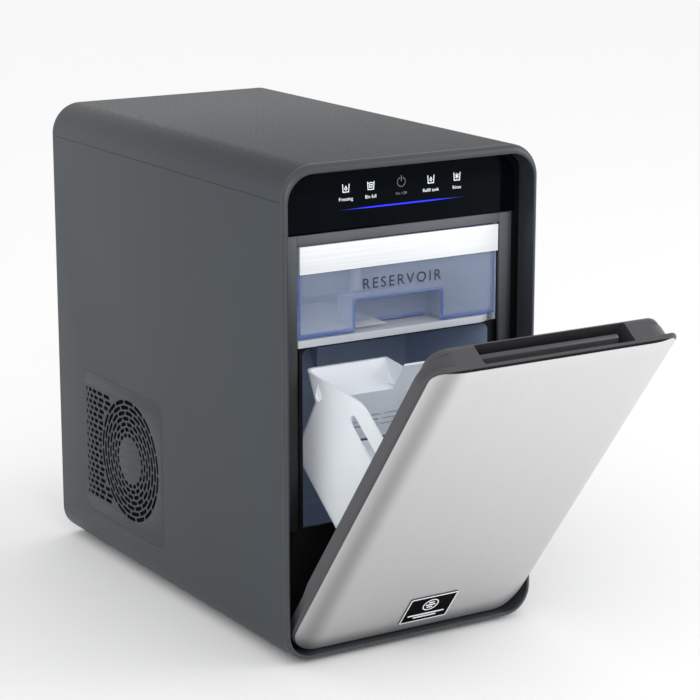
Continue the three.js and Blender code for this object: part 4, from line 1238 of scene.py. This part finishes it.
def back_and_feet():
    finish_piece(back_panel(), CABINET_PAINT, "cabinet", "cabinet_grey", "back_panel")
    inlet()
    cap_and_outlet()
    for end in ("front", "rear"):
        for side in ("left", "right"):
            foot(f"{end}_{side}_pad", f"foot_{end}_{side}")


# ---------------------------------------------------------------- carried-over CAD nodes


def paint_nodes():
    """Machinery and small parts keep their CAD shape and get finished materials."""
    looks = {
        CABINET_PAINT: ["base_pan"],
        BLACK_PLASTIC: ["main_board_box", "water_pump"],
        MATTE_BLACK: ["fan_shroud", "fan_rotor"],
        DARK_STEEL: ["hinge_pin_left", "hinge_pin_right"],
        ZINC: ["strike_plate_left", "strike_plate_right", "door_magnet_left", "door_magnet_right",
               "compressor_bracket", "fan_motor", "gear_motor"],
        BOARD: ["control_board"],
        FOAM: ["insulation_jacket", "evaporator_barrel"],
        LINER_PLASTIC: ["ice_chute"],
        SHELF_PLASTIC: ["water_reservoir"],
        WHITE_PLASTIC: ["valve_seat"],
        STAINLESS: ["auger", "extruder_head"],
        COPPER: ["suction_line", "discharge_line", "filter_drier"],
        FINS: ["condenser"],
        RUBBER: ["feed_tube"],
        moulded("compressor_paint", linear(24, 24, 28), 0.35, 120, 0.2): ["compressor"],
    }
    for material, names in looks.items():
        for name in names:
            mesh = frame["nodes"][name].data
            mesh.materials.clear()
            mesh.materials.append(material)
            for polygon in mesh.polygons:
                polygon.material_index = 0


# ---------------------------------------------------------------- stage


def camera():
    """The photograph's viewpoint: front left, a little above, with a long lens."""
    data = bpy.data.cameras.new("camera")
    data.lens = 122.63
    data.sensor_width = 36
    data.clip_start = 0.05
    data.clip_end = 20
    eye = CABINET @ Vector((-1092.5, -1652.2, 746.4))
    target = CABINET @ Vector((72.5, 220.4, 206.0))
    obj = bpy.data.objects.new("camera", data)
    bpy.context.scene.collection.objects.link(obj)
    obj.location = eye
    look = (target - eye).to_track_quat("-Z", "Y")
    obj.rotation_mode = "QUATERNION"
    obj.rotation_quaternion = look
    bpy.context.scene.camera = obj


def soft_light(name, position, target, size, power):
    data = bpy.data.lights.new(name, "AREA")
    data.shape = "DISK"
    data.size = size
    data.energy = power
    obj = bpy.data.objects.new(name, data)
    obj.location = position
    obj.rotation_mode = "QUATERNION"
    obj.rotation_quaternion = (Vector(target) - Vector(position)).to_track_quat("-Z", "Y")
    bpy.context.scene.collection.objects.link(obj)


def stage():
    mesh = bpy.data.meshes.new("floor")
    size = 12.0
    corners = [(-size, -size, 0), (size, -size, 0), (size, size, 0), (-size, size, 0)]
    mesh.from_pydata(corners, [], [(0, 1, 2, 3)])
    floor = bpy.data.objects.new("floor", mesh)
    bpy.context.scene.collection.objects.link(floor)
    pale = Nodes("floor_pale", (0.93, 0.93, 0.93, 1), 0.9)
    floor.data.materials.append(pale.material)
    world = bpy.data.worlds.new("studio")
    bpy.context.scene.world = world
    world.use_nodes = True
    background = world.node_tree.nodes["Background"]
    background.inputs["Color"].default_value = (1, 1, 1, 1)
    background.inputs["Strength"].default_value = 1.0
    soft_light("key", (-1.3, -2.7, 1.1), (0, 0, 0.25), 2.2, 24)
    soft_light("fill", (2.2, -1.6, 1.2), (0, 0, 0.2), 1.6, 16)
    bpy.context.scene.view_settings.view_transform = "Standard"


camera()
stage()
outer_shell()
control_panel()
front_structure()
tank_parts()
door_parts()
finish_piece(bucket(), WHITE_PLASTIC, "bucket", "white_plastic", "ice_bucket")
back_and_feet()
paint_nodes()
